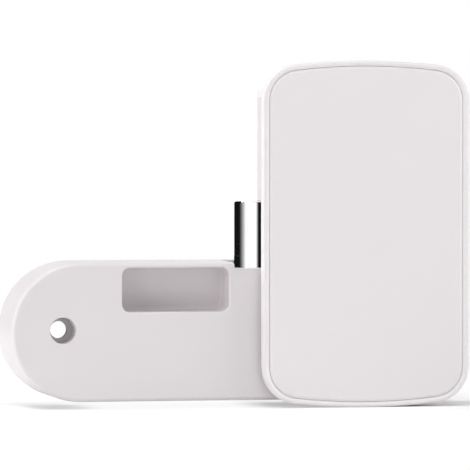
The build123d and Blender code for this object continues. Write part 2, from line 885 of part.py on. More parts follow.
def cell(index):
    # Every other cell stands on its nub, with its spring above it
    reversed_cell = index % 2 == 1
    x = cell_x(index)
    bottom = tray_bottom + plate_thickness
    if not reversed_cell:
        bottom += spring_height
    top = bottom + cell_length
    if reversed_cell:
        can = rod(x, cell_height, bottom + cell_nub_height, top, cell_radius)
        nub = rod(x, cell_height, bottom, bottom + cell_nub_height, cell_nub_radius)
    else:
        can = rod(x, cell_height, bottom, top - cell_nub_height, cell_radius)
        nub = rod(x, cell_height, top - cell_nub_height, top, cell_nub_radius)
    return fillet(can.edges().filter_by(GeomType.CIRCLE), cell_edge) + nub


def contact_spring(index):
    # A helical wire spring between a cell and its contact plate
    x = cell_x(index)
    bottom = tray_bottom + plate_thickness
    if index % 2 == 1:
        bottom += cell_length
    margin = spring_wire / 2 + spring_end_gap
    rise = spring_height - 2 * margin
    path = Helix(rise / spring_turns, rise, spring_mean_radius)
    section = Plane(path @ 0, z_dir=path % 0) * Circle(spring_wire / 2)
    return Pos(x, -cell_height, bottom + margin) * sweep(section, path=path, is_frenet=True)


def spring_clear_gap():
    rise = spring_height - spring_wire - 2 * spring_end_gap
    pitch = rise / spring_turns
    slope = pitch / (2 * math.pi * spring_mean_radius)
    return pitch * math.cos(math.atan(slope)) - spring_wire


def contact_plates():
    plates = []
    half = plate_width / 2
    low = cell_height - plate_height / 2
    high = cell_height + plate_height / 2
    top = tray_top - plate_thickness
    for first, last, bottom in [(0, 0, tray_bottom), (1, 2, tray_bottom), (0, 1, top), (2, 2, top)]:
        left = cell_x(first) - half
        right = cell_x(last) + half
        plates.append(brick(left, right, bottom, bottom + plate_thickness, low, high))
    return plates


def control_board():
    board = brick(board_left, board_right, board_bottom, board_top, board_level, board_front)
    board -= post(mount_hole_x, upper_hole_z, tray_hole_boss_radius + board_hole_gap, 0, body_front)
    for x, z in board_screw_places():
        board -= post(x, z, screw_radius + screw_clearance, 0, body_front)
    return board


def board_screws():
    return [crossed_screw(x, z, board_level, board_screw_length) for x, z in board_screw_places()]


def radio_module():
    outline = Pos(module_x, module_z) * RectangleRounded(module_width, module_height, module_corner)
    return slab(outline, board_level - module_thickness, board_level)


def buzzer():
    back = board_level - buzzer_thickness
    body = post(buzzer_x, buzzer_z, buzzer_radius, back, board_level)
    return body - post(buzzer_x, buzzer_z, buzzer_port_radius, back, back + buzzer_port_depth)


def storage_capacitor():
    can = post(capacitor_x, capacitor_z, capacitor_radius, board_level - capacitor_length, board_level)
    return fillet(face_edges(can, False), capacitor_edge)


def position_sensor():
    left = board_left + sensor_from_edge - sensor_width / 2
    bottom = sensor_z - sensor_height / 2
    back = board_level - sensor_thickness
    return brick(left, left + sensor_width, bottom, bottom + sensor_height, back, board_level)


def status_led():
    led = post(button_x, led_z, led_base_radius, board_front, board_front + led_base_thickness)
    lens = post(button_x, led_z, led_radius, board_front, board_front + led_length)
    return led + fillet(face_edges(lens, True), led_radius / 2)


def pairing_switch():
    half = switch_width / 2
    top = board_front + switch_height
    body = brick(button_x - half, button_x + half, button_z - half, button_z + half, board_front, top)
    return body - post(button_x, button_z, button_stem_radius + button_gap, top - switch_recess, body_front)


def pairing_button():
    # At rest the cap stands clear of the switch by more than its travel
    cap_back = board_front + switch_height + button_travel + button_spare
    cap_front = tray_floor_height + button_proud
    stem_back = cap_back - switch_recess
    cap = post(button_x, button_z, button_cap_radius, cap_back, cap_front)
    cap = fillet(face_edges(cap, True), button_round)
    return cap + post(button_x, button_z, button_stem_radius, stem_back, cap_back)


def motor_lead(side):
    # From a motor terminal to the right, back past the tray, then up to the board's lower edge
    start_x = motor_x + motor_radius + terminal_length
    z = terminal_z(side)
    level = motor_cap_back + terminal_thickness + terminal_thickness / 2
    up_x = lead_x + side * lead_spacing / 2
    corners = [
        (start_x, -level, z),
        (up_x, -level, z),
        (up_x, -lead_level, z),
        (up_x, -lead_level, board_bottom),
    ]
    path = FilletPolyline(*corners, radius=[lead_first_bend, lead_second_bend])
    section = Plane(path @ 0, z_dir=path % 0) * Circle(lead_radius)
    return sweep(section, path=path)


def nodes():
    return {
        "main_housing": main_housing(),
        "battery_cover": battery_cover(),
        "rear_cover": rear_cover(),
        "rear_cover_screws": rear_cover_screws(),
        "locking_bolt": locking_bolt(),
        "bolt_bushing": bolt_bushing(),
        "bolt_carriage": bolt_carriage(),
        "carriage_screw": carriage_screw(),
        "carriage_magnet": carriage_magnet(),
        "compound_gear": compound_gear(),
        "gear_axle": gear_axle(),
        "motor_pinion": motor_pinion(),
        "motor_shaft": motor_shaft(),
        "motor_gearbox": motor_gearbox(),
        "motor_can": motor_can(),
        "motor_end_cap": motor_end_cap(),
        "motor_holder": motor_holder(),
        "holder_screws": holder_screws(),
        "cell_left": cell(0),
        "cell_middle": cell(1),
        "cell_right": cell(2),
        "contact_plates": contact_plates(),
        "contact_springs": [contact_spring(index) for index in range(cell_count)],
        "control_board": control_board(),
        "board_screws": board_screws(),
        "radio_module": radio_module(),
        "buzzer": buzzer(),
        "storage_capacitor": storage_capacitor(),
        "position_sensor": position_sensor(),
        "status_led": status_led(),
        "pairing_switch": pairing_switch(),
        "pairing_button": pairing_button(),
        "motor_leads": [motor_lead(-1), motor_lead(1)],
    }


def as_one(piece):
    # A group of separate solids is written as one compound
    if isinstance(piece, list):
        return Compound([solid for item in piece for solid in item.solids()])
    return Compound(piece.solids())


def main():
    os.makedirs("parts", exist_ok=True)
    for name, piece in nodes().items():
        export_step(as_one(piece), "parts/" + name + ".step")
    print("bolt travel", round(bolt_travel, 3), "mm; bolt axis x", round(bolt_x, 3))
    print("gear axis", round(gear_x, 4), round(gear_z, 4), "motor axis", round(motor_x, 4), round(motor_z, 4))
    print("gear turns", round(1000 / pinion_radius, 4), "rad per metre")
    print("least gap between spring turns", round(spring_clear_gap(), 3), "mm")


main()
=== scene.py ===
"""The looks of an electronic cabinet lock: a finish for every part of the frame, finer meshes for the bolt,
cells, contact springs, screws and leads, and a pale studio with a camera at the front and a little left."""

import json
import math

import bmesh
import bpy
from bpy.props import FloatProperty, FloatVectorProperty, IntProperty, PointerProperty
from mathutils import Matrix, Vector

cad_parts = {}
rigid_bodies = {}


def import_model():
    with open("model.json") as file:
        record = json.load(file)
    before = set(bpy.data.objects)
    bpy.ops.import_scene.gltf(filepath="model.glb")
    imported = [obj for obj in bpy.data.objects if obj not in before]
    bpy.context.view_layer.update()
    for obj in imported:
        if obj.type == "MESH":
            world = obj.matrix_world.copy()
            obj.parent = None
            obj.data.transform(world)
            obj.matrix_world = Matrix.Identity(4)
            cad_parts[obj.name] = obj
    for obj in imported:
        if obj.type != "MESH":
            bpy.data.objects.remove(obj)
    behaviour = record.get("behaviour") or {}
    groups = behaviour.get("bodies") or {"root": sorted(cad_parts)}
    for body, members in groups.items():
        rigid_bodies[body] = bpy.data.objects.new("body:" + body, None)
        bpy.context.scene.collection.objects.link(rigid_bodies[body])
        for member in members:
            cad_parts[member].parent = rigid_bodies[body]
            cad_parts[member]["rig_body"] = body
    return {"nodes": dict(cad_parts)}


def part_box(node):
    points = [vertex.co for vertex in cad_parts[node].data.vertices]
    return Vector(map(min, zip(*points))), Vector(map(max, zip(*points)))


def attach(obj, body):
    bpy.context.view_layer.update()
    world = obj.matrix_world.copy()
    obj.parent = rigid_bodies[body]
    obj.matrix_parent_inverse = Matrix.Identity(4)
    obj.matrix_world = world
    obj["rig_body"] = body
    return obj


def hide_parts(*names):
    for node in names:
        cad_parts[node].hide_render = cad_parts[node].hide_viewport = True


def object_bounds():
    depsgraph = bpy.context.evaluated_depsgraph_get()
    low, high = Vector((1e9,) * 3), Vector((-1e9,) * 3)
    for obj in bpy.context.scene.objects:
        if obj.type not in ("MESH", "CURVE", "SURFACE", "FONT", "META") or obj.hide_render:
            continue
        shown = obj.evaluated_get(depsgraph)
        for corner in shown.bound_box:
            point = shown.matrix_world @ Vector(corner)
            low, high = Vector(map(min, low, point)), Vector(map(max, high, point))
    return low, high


bl_info = {
    "name": "Cabinet lock looks",
    "version": (1, 0, 0),
    "blender": (4, 5, 0),
    "location": "3D View > Sidebar > Cabinet lock",
    "description": "Dresses the cabinet lock's frame and sets its studio",
    "category": "Object",
}

for leftover in list(bpy.data.objects):
    bpy.data.objects.remove(leftover)
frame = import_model()
NODES = frame["nodes"]
CAD_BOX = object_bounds()
MIDDLE = (Vector(CAD_BOX[0]) + Vector(CAD_BOX[1])) / 2
MM = 0.001
MICRON = 1e-6
FULL_TURN = 2 * math.pi
LEFT, RIGHT = Vector((-1, 0, 0)), Vector((1, 0, 0))
FRONT, BACK = Vector((0, -1, 0)), Vector((0, 1, 0))
DOWN, UP = Vector((0, 0, -1)), Vector((0, 0, 1))

# Corners of the frame's loose triangles are joined where they lie closer than this
MERGE = 0.002 * MM


def size(title, text, millimetres, least=0.0):
    """A length that a user may change, stored in metres."""
    return FloatProperty(name=title, description=text, default=millimetres * MM, min=least * MM,
                         unit="LENGTH", precision=5)


def position(title, text, millimetres):
    """A place along an axis that a user may change, stored in metres."""
    return FloatProperty(name=title, description=text, default=millimetres * MM, unit="LENGTH", precision=5)


def colour(title, text, value):
    """A surface colour that a user may change."""
    return FloatVectorProperty(name=title, description=text, default=value, min=0.0, max=1.0, size=3,
                               subtype="COLOR")


def share(title, text, value, most=1.0):
    """A plain number from nought up to most."""
    return FloatProperty(name=title, description=text, default=value, min=0.0, max=most)


def count(title, text, value, least):
    """A whole number that a user may change."""
    return IntProperty(name=title, description=text, default=value, min=least)


def angle(title, text, degrees):
    """An angle that a user may change."""
    return FloatProperty(name=title, description=text, default=math.radians(degrees), subtype="ANGLE")


class LockColours(bpy.types.PropertyGroup):
    """Colours of the lock's finishes."""

    # Painted light: arm and body are one moulding; the arm's colour is a darker, shaded copy and the body's a
    # lighter, lit copy
    arm: colour("Arm", "Satin plastic of the arm", (0.735, 0.699, 0.714))
    body: colour("Body", "Satin plastic of the upright body with its lip", (0.82, 0.79, 0.80))
    cover: colour("Battery cover", "Satin plastic of the front panel", (0.79, 0.758, 0.768))
    rear: colour("Rear plastic", "Matt plastic of the back plate and button", (0.74, 0.73, 0.74))
    chrome: colour("Bolt", "Polished plate of the bolt", (0.975, 0.98, 0.985))
    acetal: colour("Acetal", "Natural acetal of the gears and carriage", (0.80, 0.78, 0.72))
    black: colour("Black nylon", "Bush, gearbox, end cap, buzzer and switch", (0.018, 0.018, 0.020))
    zinc: colour("Zinc plate", "Screws and axle", (0.62, 0.64, 0.67))
    can: colour("Drawn can", "Motor can and radio shield", (0.66, 0.66, 0.67))
    nickel: colour("Nickel", "Contact plates and springs", (0.72, 0.69, 0.63))
    jacket: colour("Cell jacket", "Shrink sleeve of the cells", (0.060, 0.115, 0.165))
    band: colour("Cell band", "Pale band at the cells' positive end", (0.52, 0.54, 0.55))
    ring: colour("Cell ring", "Thin pale ring under the band", (0.55, 0.55, 0.56))
    mask: colour("Solder mask", "Green lacquer of the board", (0.010, 0.105, 0.045))
    track: colour("Tracks", "Lacquer over the board's copper tracks", (0.030, 0.1995, 0.072))
    pad: colour("Solder pads", "Tinned pads of the board", (0.70, 0.68, 0.62))
    aluminium: colour("Aluminium", "Bare can of the storage capacitor", (0.72, 0.73, 0.75))
    stripe: colour("Stripe", "Printed stripe down the capacitor's negative side", (0.03, 0.03, 0.035))
    lens: colour("Lens", "Clear epoxy of the status light", (0.95, 0.97, 1.0))
    cloud: colour("Lens cloud", "Cloudy spots in the status light's epoxy", (0.86, 0.90, 0.92))
    red: colour("Red lead", "Sleeve of the first motor lead", (0.42, 0.018, 0.015))
    floor: colour("Floor", "The pale floor as it throws light back at the lock", (0.80, 0.80, 0.80))


class LockBody(bpy.types.PropertyGroup):
    """Sizes of the upright body, whose front lip overhangs the block behind it."""

    lip_depth: size("Lip depth", "From the front to the back of the lip round the battery cover", 2.5)
    overhang: size("Overhang", "How far the lip reaches out beside the block", 4.2)


class LockBolt(bpy.types.PropertyGroup):
    """Sizes of the polished bolt."""

    end_round: size("End round", "Round on the bolt's top edge", 0.62)
    edge: size("Edge", "Bevel on the lower edges of the bolt and its spigot", 0.2)
    groove_width: size("Groove width", "Width of the shallow groove inside the bush", 0.8)
    groove_depth: size("Groove depth", "Depth of the shallow groove", 0.3)
    groove_drop: size("Groove drop", "From the bolt's top to the groove's upper edge", 17.1)
    spigot_radius: size("Spigot radius", "Radius of the spigot in the carriage", 2.5)
    spigot_length: size("Spigot length", "Length of the spigot in the carriage", 5.3)
    pilot_radius: size("Pilot radius", "Radius of the screw's hole in the spigot", 1.02)
    pilot_depth: size("Pilot depth", "Depth of the screw's hole in the spigot", 4.6)
    segments: count("Segments", "Flat faces round the bolt", 160, 12)


class LockCells(bpy.types.PropertyGroup):
    """Sizes of the three cells."""

    nub_radius: size("Nub radius", "Radius of the positive nub", 1.9)
    nub_height: size("Nub height", "Height of the positive nub", 0.8)
    nub_round: size("Nub round", "Round on the nub's edge", 0.25)
    shoulder: size("Shoulder", "Round of the sleeve over the can's ends", 0.55)
    lip: size("Sleeve lip", "How far the sleeve reaches in over each end", 0.75)
    end_step: size("End step", "How far the metal ends lie inside the sleeve's lip", 0.12)
    band_length: size("Band length", "Length of the coloured band at the positive end", 10.5)
    ring_width: size("Ring width", "Width of the pale ring under the band", 0.7)
    segments: count("Segments", "Flat faces round a cell", 96, 12)


class LockSprings(bpy.types.PropertyGroup):
    """Sizes of the coiled contact springs."""

    wire_radius: size("Wire radius", "Half of the wire's thickness", 0.25)
    turns: share("Turns", "Number of turns in a spring", 4.0, 20.0)
    closed_turns: share("Closed turns", "Flat part of a turn at each end", 0.5, 2.0)
    segments: count("Segments", "Steps along each turn", 40, 8)
    sides: count("Sides", "Faces round the wire", 10, 4)


class LockScrews(bpy.types.PropertyGroup):
    """Sizes of the small self-tapping screws."""

    head_radius: size("Head radius", "Radius of the pan head", 1.9)
    head_height: size("Head height", "Height of the pan head", 1.2)
    crown_share: share("Crown share", "Rounded part of the head's height", 0.55)
    head_sides: count("Head sides", "Flat faces round the head", 48, 12)
    shank_radius: size("Shank radius", "Radius over the thread", 1.0)
    thread_depth: size("Thread depth", "Depth of the thread", 0.22)
    thread_share: share("Thread share", "Half of the thread's width at its foot, in pitches", 0.32)
    thread_sides: count("Thread sides", "Flat faces round the thread", 20, 8)
    thread_steps: count("Thread steps", "Rows of faces along one turn of the thread", 6, 4)
    pitch: size("Pitch", "Rise of the thread in a turn", 0.75, 0.1)
    point_share: share("Point share", "The core's width at the blunt point, as a share", 0.45)
    cross_width: size("Cross width", "Width of each slot of the cross", 0.42)
    cross_length: size("Cross length", "Length of each slot of the cross", 2.1)
    cross_depth: size("Cross depth", "Depth of the cross", 0.75)
    cross_foot_share: share("Cross foot share", "The cross's width and length at its foot, as a share", 0.55)
    seed: IntProperty(name="Seed", description="Start of the screws' random turn", default=7)


class LockBoard(bpy.types.PropertyGroup):
    """Pattern of the control board's tracks and pads, drawn in squares of a few tracks."""

    pitch: size("Pitch", "From one track to the next", 1.27, 0.1)
    square: share("Square", "Tracks across a square", 4.0, 20.0)
    half_track_share: share("Half track share", "Half of a track's width, as a share of the pitch", 0.13)
    bare_share: share("Bare share", "Part of the squares that have no tracks", 0.12)
    level_share: share("Level share", "Part of the squares that have level tracks or none", 0.45)
    unpadded_share: share("Unpadded share", "Part of the squares that have no pads", 0.80)
    pad_pitches: share("Pad pitches", "Pitches from one pad to the next", 2.0, 20.0)
    pad_share: share("Pad share", "Radius of a pad, as a share of the way to the next", 0.17)


class LockStudio(bpy.types.PropertyGroup):
    """Camera, lamps, floor and background."""

    yaw: angle("Yaw", "How far left of the lock's front the camera stands", 11.82)
    pitch: angle("Pitch", "How far the camera looks down", 1.54)
    distance: size("Distance", "From the camera to the lock's front", 1265.8)
    lens: share("Focal length", "In millimetres, for the sensor's width", 382.98, 1000.0)
    sensor: share("Sensor width", "In millimetres", 36.0, 100.0)
    target_x: position("Target X", "Middle of the picture, from left to right", -33.2)
    target_y: position("Target Y", "Middle of the picture, from front to back", -21.5)
    target_z: position("Target Z", "Middle of the picture, upwards", -0.17)
    left: share("Left lamp", "Light of the lamp at the left on a face turned left", 0.36, 5.0)
    side: share("Side lamp", "Light of the lamp at the left and behind on a face turned left", 0.55, 5.0)
    right: share("Right lamp", "Light of the low lamp at the right on a face turned right", 0.48, 5.0)
    top: share("Top lamp", "Light of the lamp above on a level face", 0.35, 5.0)
    back: share("Back lamp", "Light of the small lamp above and behind on a level face", 0.22, 5.0)
    front: share("Front lamp", "Light of the lamp behind the camera on the lock's front", 0.11, 5.0)
    world: share("World", "Even light from all round", 0.20, 5.0)
    floor_reach: size("Floor reach", "From the lock to the floor's edges", 6000.0)
    shadow_near: size("Shadow near", "Up to here from the lock's middle the floor shows its shadows", 100.0)
    shadow_far: size("Shadow far", "From here on the floor shows plain white", 260.0)
    under_arm: share("Under the arm", "How much of its shadow the floor shows under the arm", 0.06)
    beside_body: share("Beside the body", "How much more it shows at the body's left than under the arm", 0.5)
    contrast: share("Floor contrast", "Brightness of the floor that the camera sees in full light", 1.10, 3.0)
    # Painted reflection: the cards glow, seen only in metal, to paint the bolt's dark and white reflections
    card_reach: size("Card reach", "From the bolt to the dark cards that it mirrors", 420.0)
    card_height: size("Card height", "Height of the far card", 700.0)
    card_gap: size("Card gap", "From the bolt to the dark cards close to it", 0.65)
    card_foot: size("Card foot", "From the bush's top to the top of the card round the bolt's foot", 3.8)
    card_light: share("Card light", "Square root of a card's light where it has faded to white", 1.04, 2.0)
    card_dark: share("Card dark", "Square root of a card's light where it is dark", 0.085)


GROUPS = {"colours": LockColours, "body": LockBody, "bolt": LockBolt, "cells": LockCells,
          "springs": LockSprings, "screws": LockScrews, "board": LockBoard, "studio": LockStudio}


def settings(group):
    """The scene's property group of that name."""
    return getattr(bpy.context.scene, "lock_" + group)


class Value:
    """A socket that can be used in sums written as Python."""

    def __init__(self, graph, socket):
        self.graph = graph
        self.socket = socket

    def __add__(self, other):
        return self.graph.math("ADD", self, other)

    def __radd__(self, other):
        return self.graph.math("ADD", other, self)

    def __sub__(self, other):
        return self.graph.math("SUBTRACT", self, other)

    def __rsub__(self, other):
        return self.graph.math("SUBTRACT", other, self)

    def __mul__(self, other):
        return self.graph.math("MULTIPLY", self, other)

    def __rmul__(self, other):
        return self.graph.math("MULTIPLY", other, self)

    def __truediv__(self, other):
        return self.graph.math("DIVIDE", self, other)

    def __rtruediv__(self, other):
        return self.graph.math("DIVIDE", other, self)

    def __mod__(self, other):
        return self.graph.math("FLOORED_MODULO", self, other)

    def __rmod__(self, other):
        return self.graph.math("FLOORED_MODULO", other, self)

    def __abs__(self):
        return self.graph.math("ABSOLUTE", self)

    def above(self, limit):
        """1 where this is more than limit, else 0."""
        return self.graph.math("GREATER_THAN", self, limit)

    def below(self, limit):
        """1 where this is less than limit, else 0."""
        return self.graph.math("LESS_THAN", self, limit)

    def swing(self, amount):
        """A value of 0 to 1 made one of half of amount to either side of nought."""
        return (self - 0.5) * amount


class Graph:
    """A node tree, with one method that makes any node."""

    def __init__(self, tree):
        self.tree = tree

    def node(self, kind, choices=None, inputs=None, output=0):
        """A new node: its choices first, then its sockets; gives one output, where it has any."""
        made = self.tree.nodes.new(kind)
        for name, value in (choices or {}).items():
            setattr(made, name, value)
        for key, value in (inputs or {}).items():
            self.feed(made.inputs[key], value)
        return Value(self, made.outputs[output]) if made.outputs else None

    def feed(self, socket, value):
        """Links a Value to a socket, or sets the socket's own value."""
        if isinstance(value, Value):
            self.tree.links.new(value.socket, socket)
        else:
            socket.default_value = value

    def math(self, operation, *values):
        """A Math node on one, two or three values."""
        return self.node("ShaderNodeMath", {"operation": operation}, dict(enumerate(values)))

    def vector(self, operation, *values, output=0):
        """A Vector Math node, whose output 1 is the number that LENGTH gives."""
        return self.node("ShaderNodeVectorMath", {"operation": operation}, dict(enumerate(values)), output)

    def place(self, scale=(1, 1, 1), offset=(0, 0, 0)):
        """Object coordinates in metres, stretched and moved."""
        coordinates = self.node("ShaderNodeTexCoord", output="Object")
        return self.node("ShaderNodeMapping", inputs={
            "Vector": coordinates, "Location": offset, "Scale": scale})

    def axes(self, vector):
        """The three parts of a vector."""
        split = self.node("ShaderNodeSeparateXYZ", inputs={0: vector}).socket.node
        return [Value(self, output) for output in split.outputs]

    def noise(self, vector, scale, detail=2.0, roughness=0.5):
        """Smooth noise from 0 to 1."""
        return self.node("ShaderNodeTexNoise", inputs={
            "Vector": vector, "Scale": scale, "Detail": detail, "Roughness": roughness})

    def mix(self, factor, first, second):
        """A colour between two colours, which have sockets 6 and 7 and output 2 of a Mix node."""
        return self.node("ShaderNodeMix", {"data_type": "RGBA"}, {0: factor, 6: first, 7: second}, output=2)

    def tones(self, factor, shade, dark, light):
        """A colour between a dark and a light tone of one shade."""
        return self.mix(factor, opaque(shade, dark), opaque(shade, light))

    def slope(self, value, start, end, first=0.0, last=1.0, smooth=False):
        """A value that goes from first to last between start and end, with soft ends where it is smooth."""
        kind = "SMOOTHSTEP" if smooth else "LINEAR"
        return self.node("ShaderNodeMapRange", {"interpolation_type": kind}, {
            "Value": value, "From Min": start, "From Max": end, "To Min": first, "To Max": last})

    def bump(self, height, depth, strength):
        """A normal from a height of 0 to 1 that stands for depth metres."""
        return self.node("ShaderNodeBump", inputs={
            "Height": height, "Distance": depth, "Strength": strength})

    def end(self, last, kind="ShaderNodeOutputMaterial"):
        """Leads the last node to the tree's own output."""
        self.node(kind, inputs={0: last})

    def surface(self, values):
        """Ends a material with its main shader, from values or links by the names of its sockets."""
        self.end(self.node("ShaderNodeBsdfPrincipled", inputs=values))


def opaque(shade, factor=1.0):
    """A colour with its fourth value, its others times a factor."""
    return (shade[0] * factor, shade[1] * factor, shade[2] * factor, 1.0)


def blank_graph(owner):
    """The empty node tree of a new material or world, as a Graph."""
    owner.use_nodes = True
    owner.node_tree.nodes.clear()
    return Graph(owner.node_tree)


def new_material(name):
    """A material without nodes, and its graph."""
    made = bpy.data.materials.new(name)
    return made, blank_graph(made)


def satin_plastic(name, shade, roughness=0.42, grain=3400.0, depth=16 * MICRON, speck=0.012, other=None):
    """Moulded plastic with a fine grain, a faint flow mottle and a soft sheen. Another shade may be given
    with the function that says where it is; the housing uses it for painted light on its body."""
    made, graph = new_material(name)
    place = graph.place()
    mottle = graph.noise(place, scale=34.0, detail=3.0)
    fine = graph.noise(place, scale=grain, detail=3.0, roughness=0.6)
    factor = mottle.swing(2 * speck) + fine.swing(speck) + 0.5
    dark, light = 0.93, 1.07
    base = graph.tones(factor, shade, dark, light)
    if other:
        other_shade, where = other
        base = graph.mix(where(graph, place), base, graph.tones(factor, other_shade, dark, light))
    graph.surface({
        "Base Color": base,
        "Roughness": roughness + fine.swing(0.10) + mottle.swing(0.06),
        "Normal": graph.bump(fine, depth, strength=0.5),
        "Specular IOR Level": 0.5})
    return made


def painted_light_on_body(graph, place):
    """Where the housing's colour is painted lighter, as painted light: 1 on the upright body, its lip and the
    block behind it, and 0 on the arm.
    """
    low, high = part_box("main_housing")
    sizes = settings("body")
    lip_back = low.y + sizes.lip_depth
    block_left = sizes.overhang - high.x
    x, y = graph.axes(place)[:2]
    return graph.math("MAXIMUM", y.below(lip_back), x.above(block_left))


def plated_metal(name, shade, roughness, along=(1, 1, 1), lines=900.0, depth=4 * MICRON):
    """Bright metal with fine lines along one axis and faint handling marks."""
    made, graph = new_material(name)
    fine = graph.noise(graph.place(scale=along), scale=lines, roughness=0.55)
    marks = graph.noise(graph.place(), scale=160.0, detail=4.0, roughness=0.6)
    graph.surface({
        "Base Color": graph.tones(marks, shade, dark=0.92, light=1.0),
        "Roughness": roughness + fine.swing(0.5 * roughness) + marks.swing(0.4 * roughness),
        "Normal": graph.bump(fine, depth, strength=0.4),
        "Metallic": 1.0})
    return made


def acetal(name, shade):
    """Milky natural acetal with a waxy surface and fine turning marks."""
    made, graph = new_material(name)
    place = graph.place()
    cloud = graph.noise(place, scale=90.0, detail=3.0)
    fine = graph.noise(place, scale=2600.0)
    graph.surface({
        "Base Color": graph.tones(cloud, shade, dark=0.95, light=1.04),
        "Roughness": 0.33 + fine.swing(0.12),
        "Normal": graph.bump(fine, depth=9 * MICRON, strength=0.4),
        "Subsurface Weight": 0.08, "Subsurface Scale": 0.6 * MM})
    return made


def cell_sleeve(name, shades, low, high, upwards):
    """Glossy shrink sleeve with a coloured band at the positive end and a thin pale ring under it."""
    made, graph = new_material(name)
    sizes = settings("cells")
    z = graph.axes(graph.place())[2]
    from_positive = (high - z) if upwards else (z - low)
    on_band = from_positive.below(sizes.band_length)
    on_ring = from_positive.below(sizes.band_length + sizes.ring_width) * (1 - on_band)
    foil = graph.noise(graph.place(scale=(1, 1, 0.08)), scale=700.0)
    plain = graph.tones(foil, shades.jacket, dark=0.8, light=1.35)
    printed = graph.tones(foil, shades.band, dark=0.9, light=1.12)
    graph.surface({
        "Base Color": graph.mix(on_ring, graph.mix(on_band, plain, printed), opaque(shades.ring)),
        "Metallic": on_band * 0.55,
        "Roughness": 0.20 + foil.swing(0.08),
        "Normal": graph.bump(foil, depth=6 * MICRON, strength=0.3),
        "Coat Weight": 0.35, "Coat Roughness": 0.12})
    return made


def circuit_board(name, shades):
    """Green lacquer over copper tracks, with tinned pads here and there."""
    made, graph = new_material(name)
    sizes = settings("board")
    x, y, z = graph.axes(graph.place())
    squares = 1 / (sizes.square * sizes.pitch)
    square = graph.vector("FLOOR", graph.place(scale=(squares, 0, squares)))
    pick = graph.node("ShaderNodeTexWhiteNoise", {"noise_dimensions": "3D"}, {"Vector": square})
    upright_lines, level_lines = [
        abs((across / sizes.pitch) % 1.0 - 0.5).below(sizes.half_track_share) for across in (x, z)]
    upright = pick.above(sizes.level_share)
    lines = graph.math("MAXIMUM", upright_lines * upright, level_lines * (1 - upright))
    track = lines * pick.above(sizes.bare_share)
    pads = sizes.pad_pitches * sizes.pitch
    radius = graph.vector("LENGTH", graph.node("ShaderNodeCombineXYZ", inputs={
        0: (x / pads) % 1.0 - 0.5, 1: (z / pads) % 1.0 - 0.5}), output=1)
    pad = radius.below(sizes.pad_share) * pick.above(sizes.unpadded_share)
    lacquer = graph.mix(track, opaque(shades.mask), opaque(shades.track))
    height = graph.math("MAXIMUM", track, pad)
    graph.surface({
        "Base Color": graph.mix(pad, lacquer, opaque(shades.pad)),
        "Metallic": pad,
        "Roughness": 0.30 - track * 0.06,
        "Normal": graph.bump(height, depth=18 * MICRON, strength=0.6),
        "Coat Weight": 0.5, "Coat Roughness": 0.08})
    return made


def capacitor_can(name, shades, low, high):
    """Bare aluminium can with a dark printed stripe down its negative side."""
    made, graph = new_material(name)
    middle = (Vector(low) + Vector(high)) / 2
    stripe_from_share = 0.62
    x = graph.axes(graph.place(offset=tuple(-middle)))[0]
    stripe = x.above(stripe_from_share * (high[0] - middle[0]))
    fine = graph.noise(graph.place(scale=(1, 8, 1)), scale=500.0)
    graph.surface({
        "Base Color": graph.mix(stripe, opaque(shades.aluminium), opaque(shades.stripe)),
        "Metallic": 1 - stripe * 0.9,
        "Roughness": 0.28 + fine.swing(0.12),
        "Normal": graph.bump(fine, depth=5 * MICRON, strength=0.4)})
    return made


def clear_epoxy(name, shades):
    """Clear lens of the status light, a little cloudy."""
    made, graph = new_material(name)
    cloud = graph.noise(graph.place(), scale=900.0)
    graph.surface({
        "Base Color": graph.mix(cloud, opaque(shades.cloud), opaque(shades.lens)),
        "Roughness": 0.10 + cloud * 0.08,
        "Transmission Weight": 0.75, "IOR": 1.53})
    return made


def make_finishes():
    """All the materials that more than one piece uses, by a maker's name."""
    shades = settings("colours")
    return {
        # Painted light: the housing's body takes the lighter, lit copy of its colour, the arm the darker,
        # shaded one
        "housing": satin_plastic("housing_satin", shades.arm, other=(shades.body, painted_light_on_body)),
        "cover": satin_plastic("cover_satin", shades.cover),
        "rear": satin_plastic("rear_matt", shades.rear, roughness=0.58, grain=2400.0, depth=24 * MICRON),
        "chrome": plated_metal("bolt_chrome_plate", shades.chrome, roughness=0.055, along=(1, 1, 0.04),
                               lines=1500.0, depth=1.5 * MICRON),
        "acetal": acetal("natural_acetal", shades.acetal),
        "black": satin_plastic("black_nylon", shades.black, roughness=0.40, grain=2200.0,
                               depth=18 * MICRON, speck=0.05),
        "zinc": plated_metal("zinc_plate", shades.zinc, roughness=0.30),
        "can": plated_metal("drawn_can", shades.can, roughness=0.27, along=(1, 0.05, 1), lines=1100.0),
        "nickel": plated_metal("nickel_plate", shades.nickel, roughness=0.22, along=(1, 1, 0.1)),
        "red": satin_plastic("red_sleeve", shades.red, roughness=0.38, grain=1800.0, depth=10 * MICRON,
                             speck=0.03),
    }


FINISHES = {}


def finish(name):
    """One of the shared materials, made at its first use."""
    if not FINISHES:
        FINISHES.update(make_finishes())
    return FINISHES[name]


def dress(node, surface):
    """Gives a CAD node a material; its mesh stays."""
    mesh = NODES[node].data
    mesh.materials.clear()
    mesh.materials.append(surface)


def dress_all(plan):
    """Gives CAD nodes their shared materials, from a dictionary of both names."""
    for node, name in plan.items():
        dress(node, finish(name))


def add_object(name, mesh):
    """Links a mesh to the scene as an object at the origin."""
    made = bpy.data.objects.new(name, mesh)
    bpy.context.scene.collection.objects.link(made)
    return made


def keep_piece(made, node):
    """Lets a finished piece ride where its node rides and stand for that node."""
    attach(made, NODES[node]["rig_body"])
    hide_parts(node)


def merged_copy(node):
    """A bmesh of a CAD node with its loose triangles joined."""
    copy = bmesh.new()
    copy.from_mesh(NODES[node].data)
    bmesh.ops.remove_doubles(copy, verts=copy.verts, dist=MERGE)
    return copy


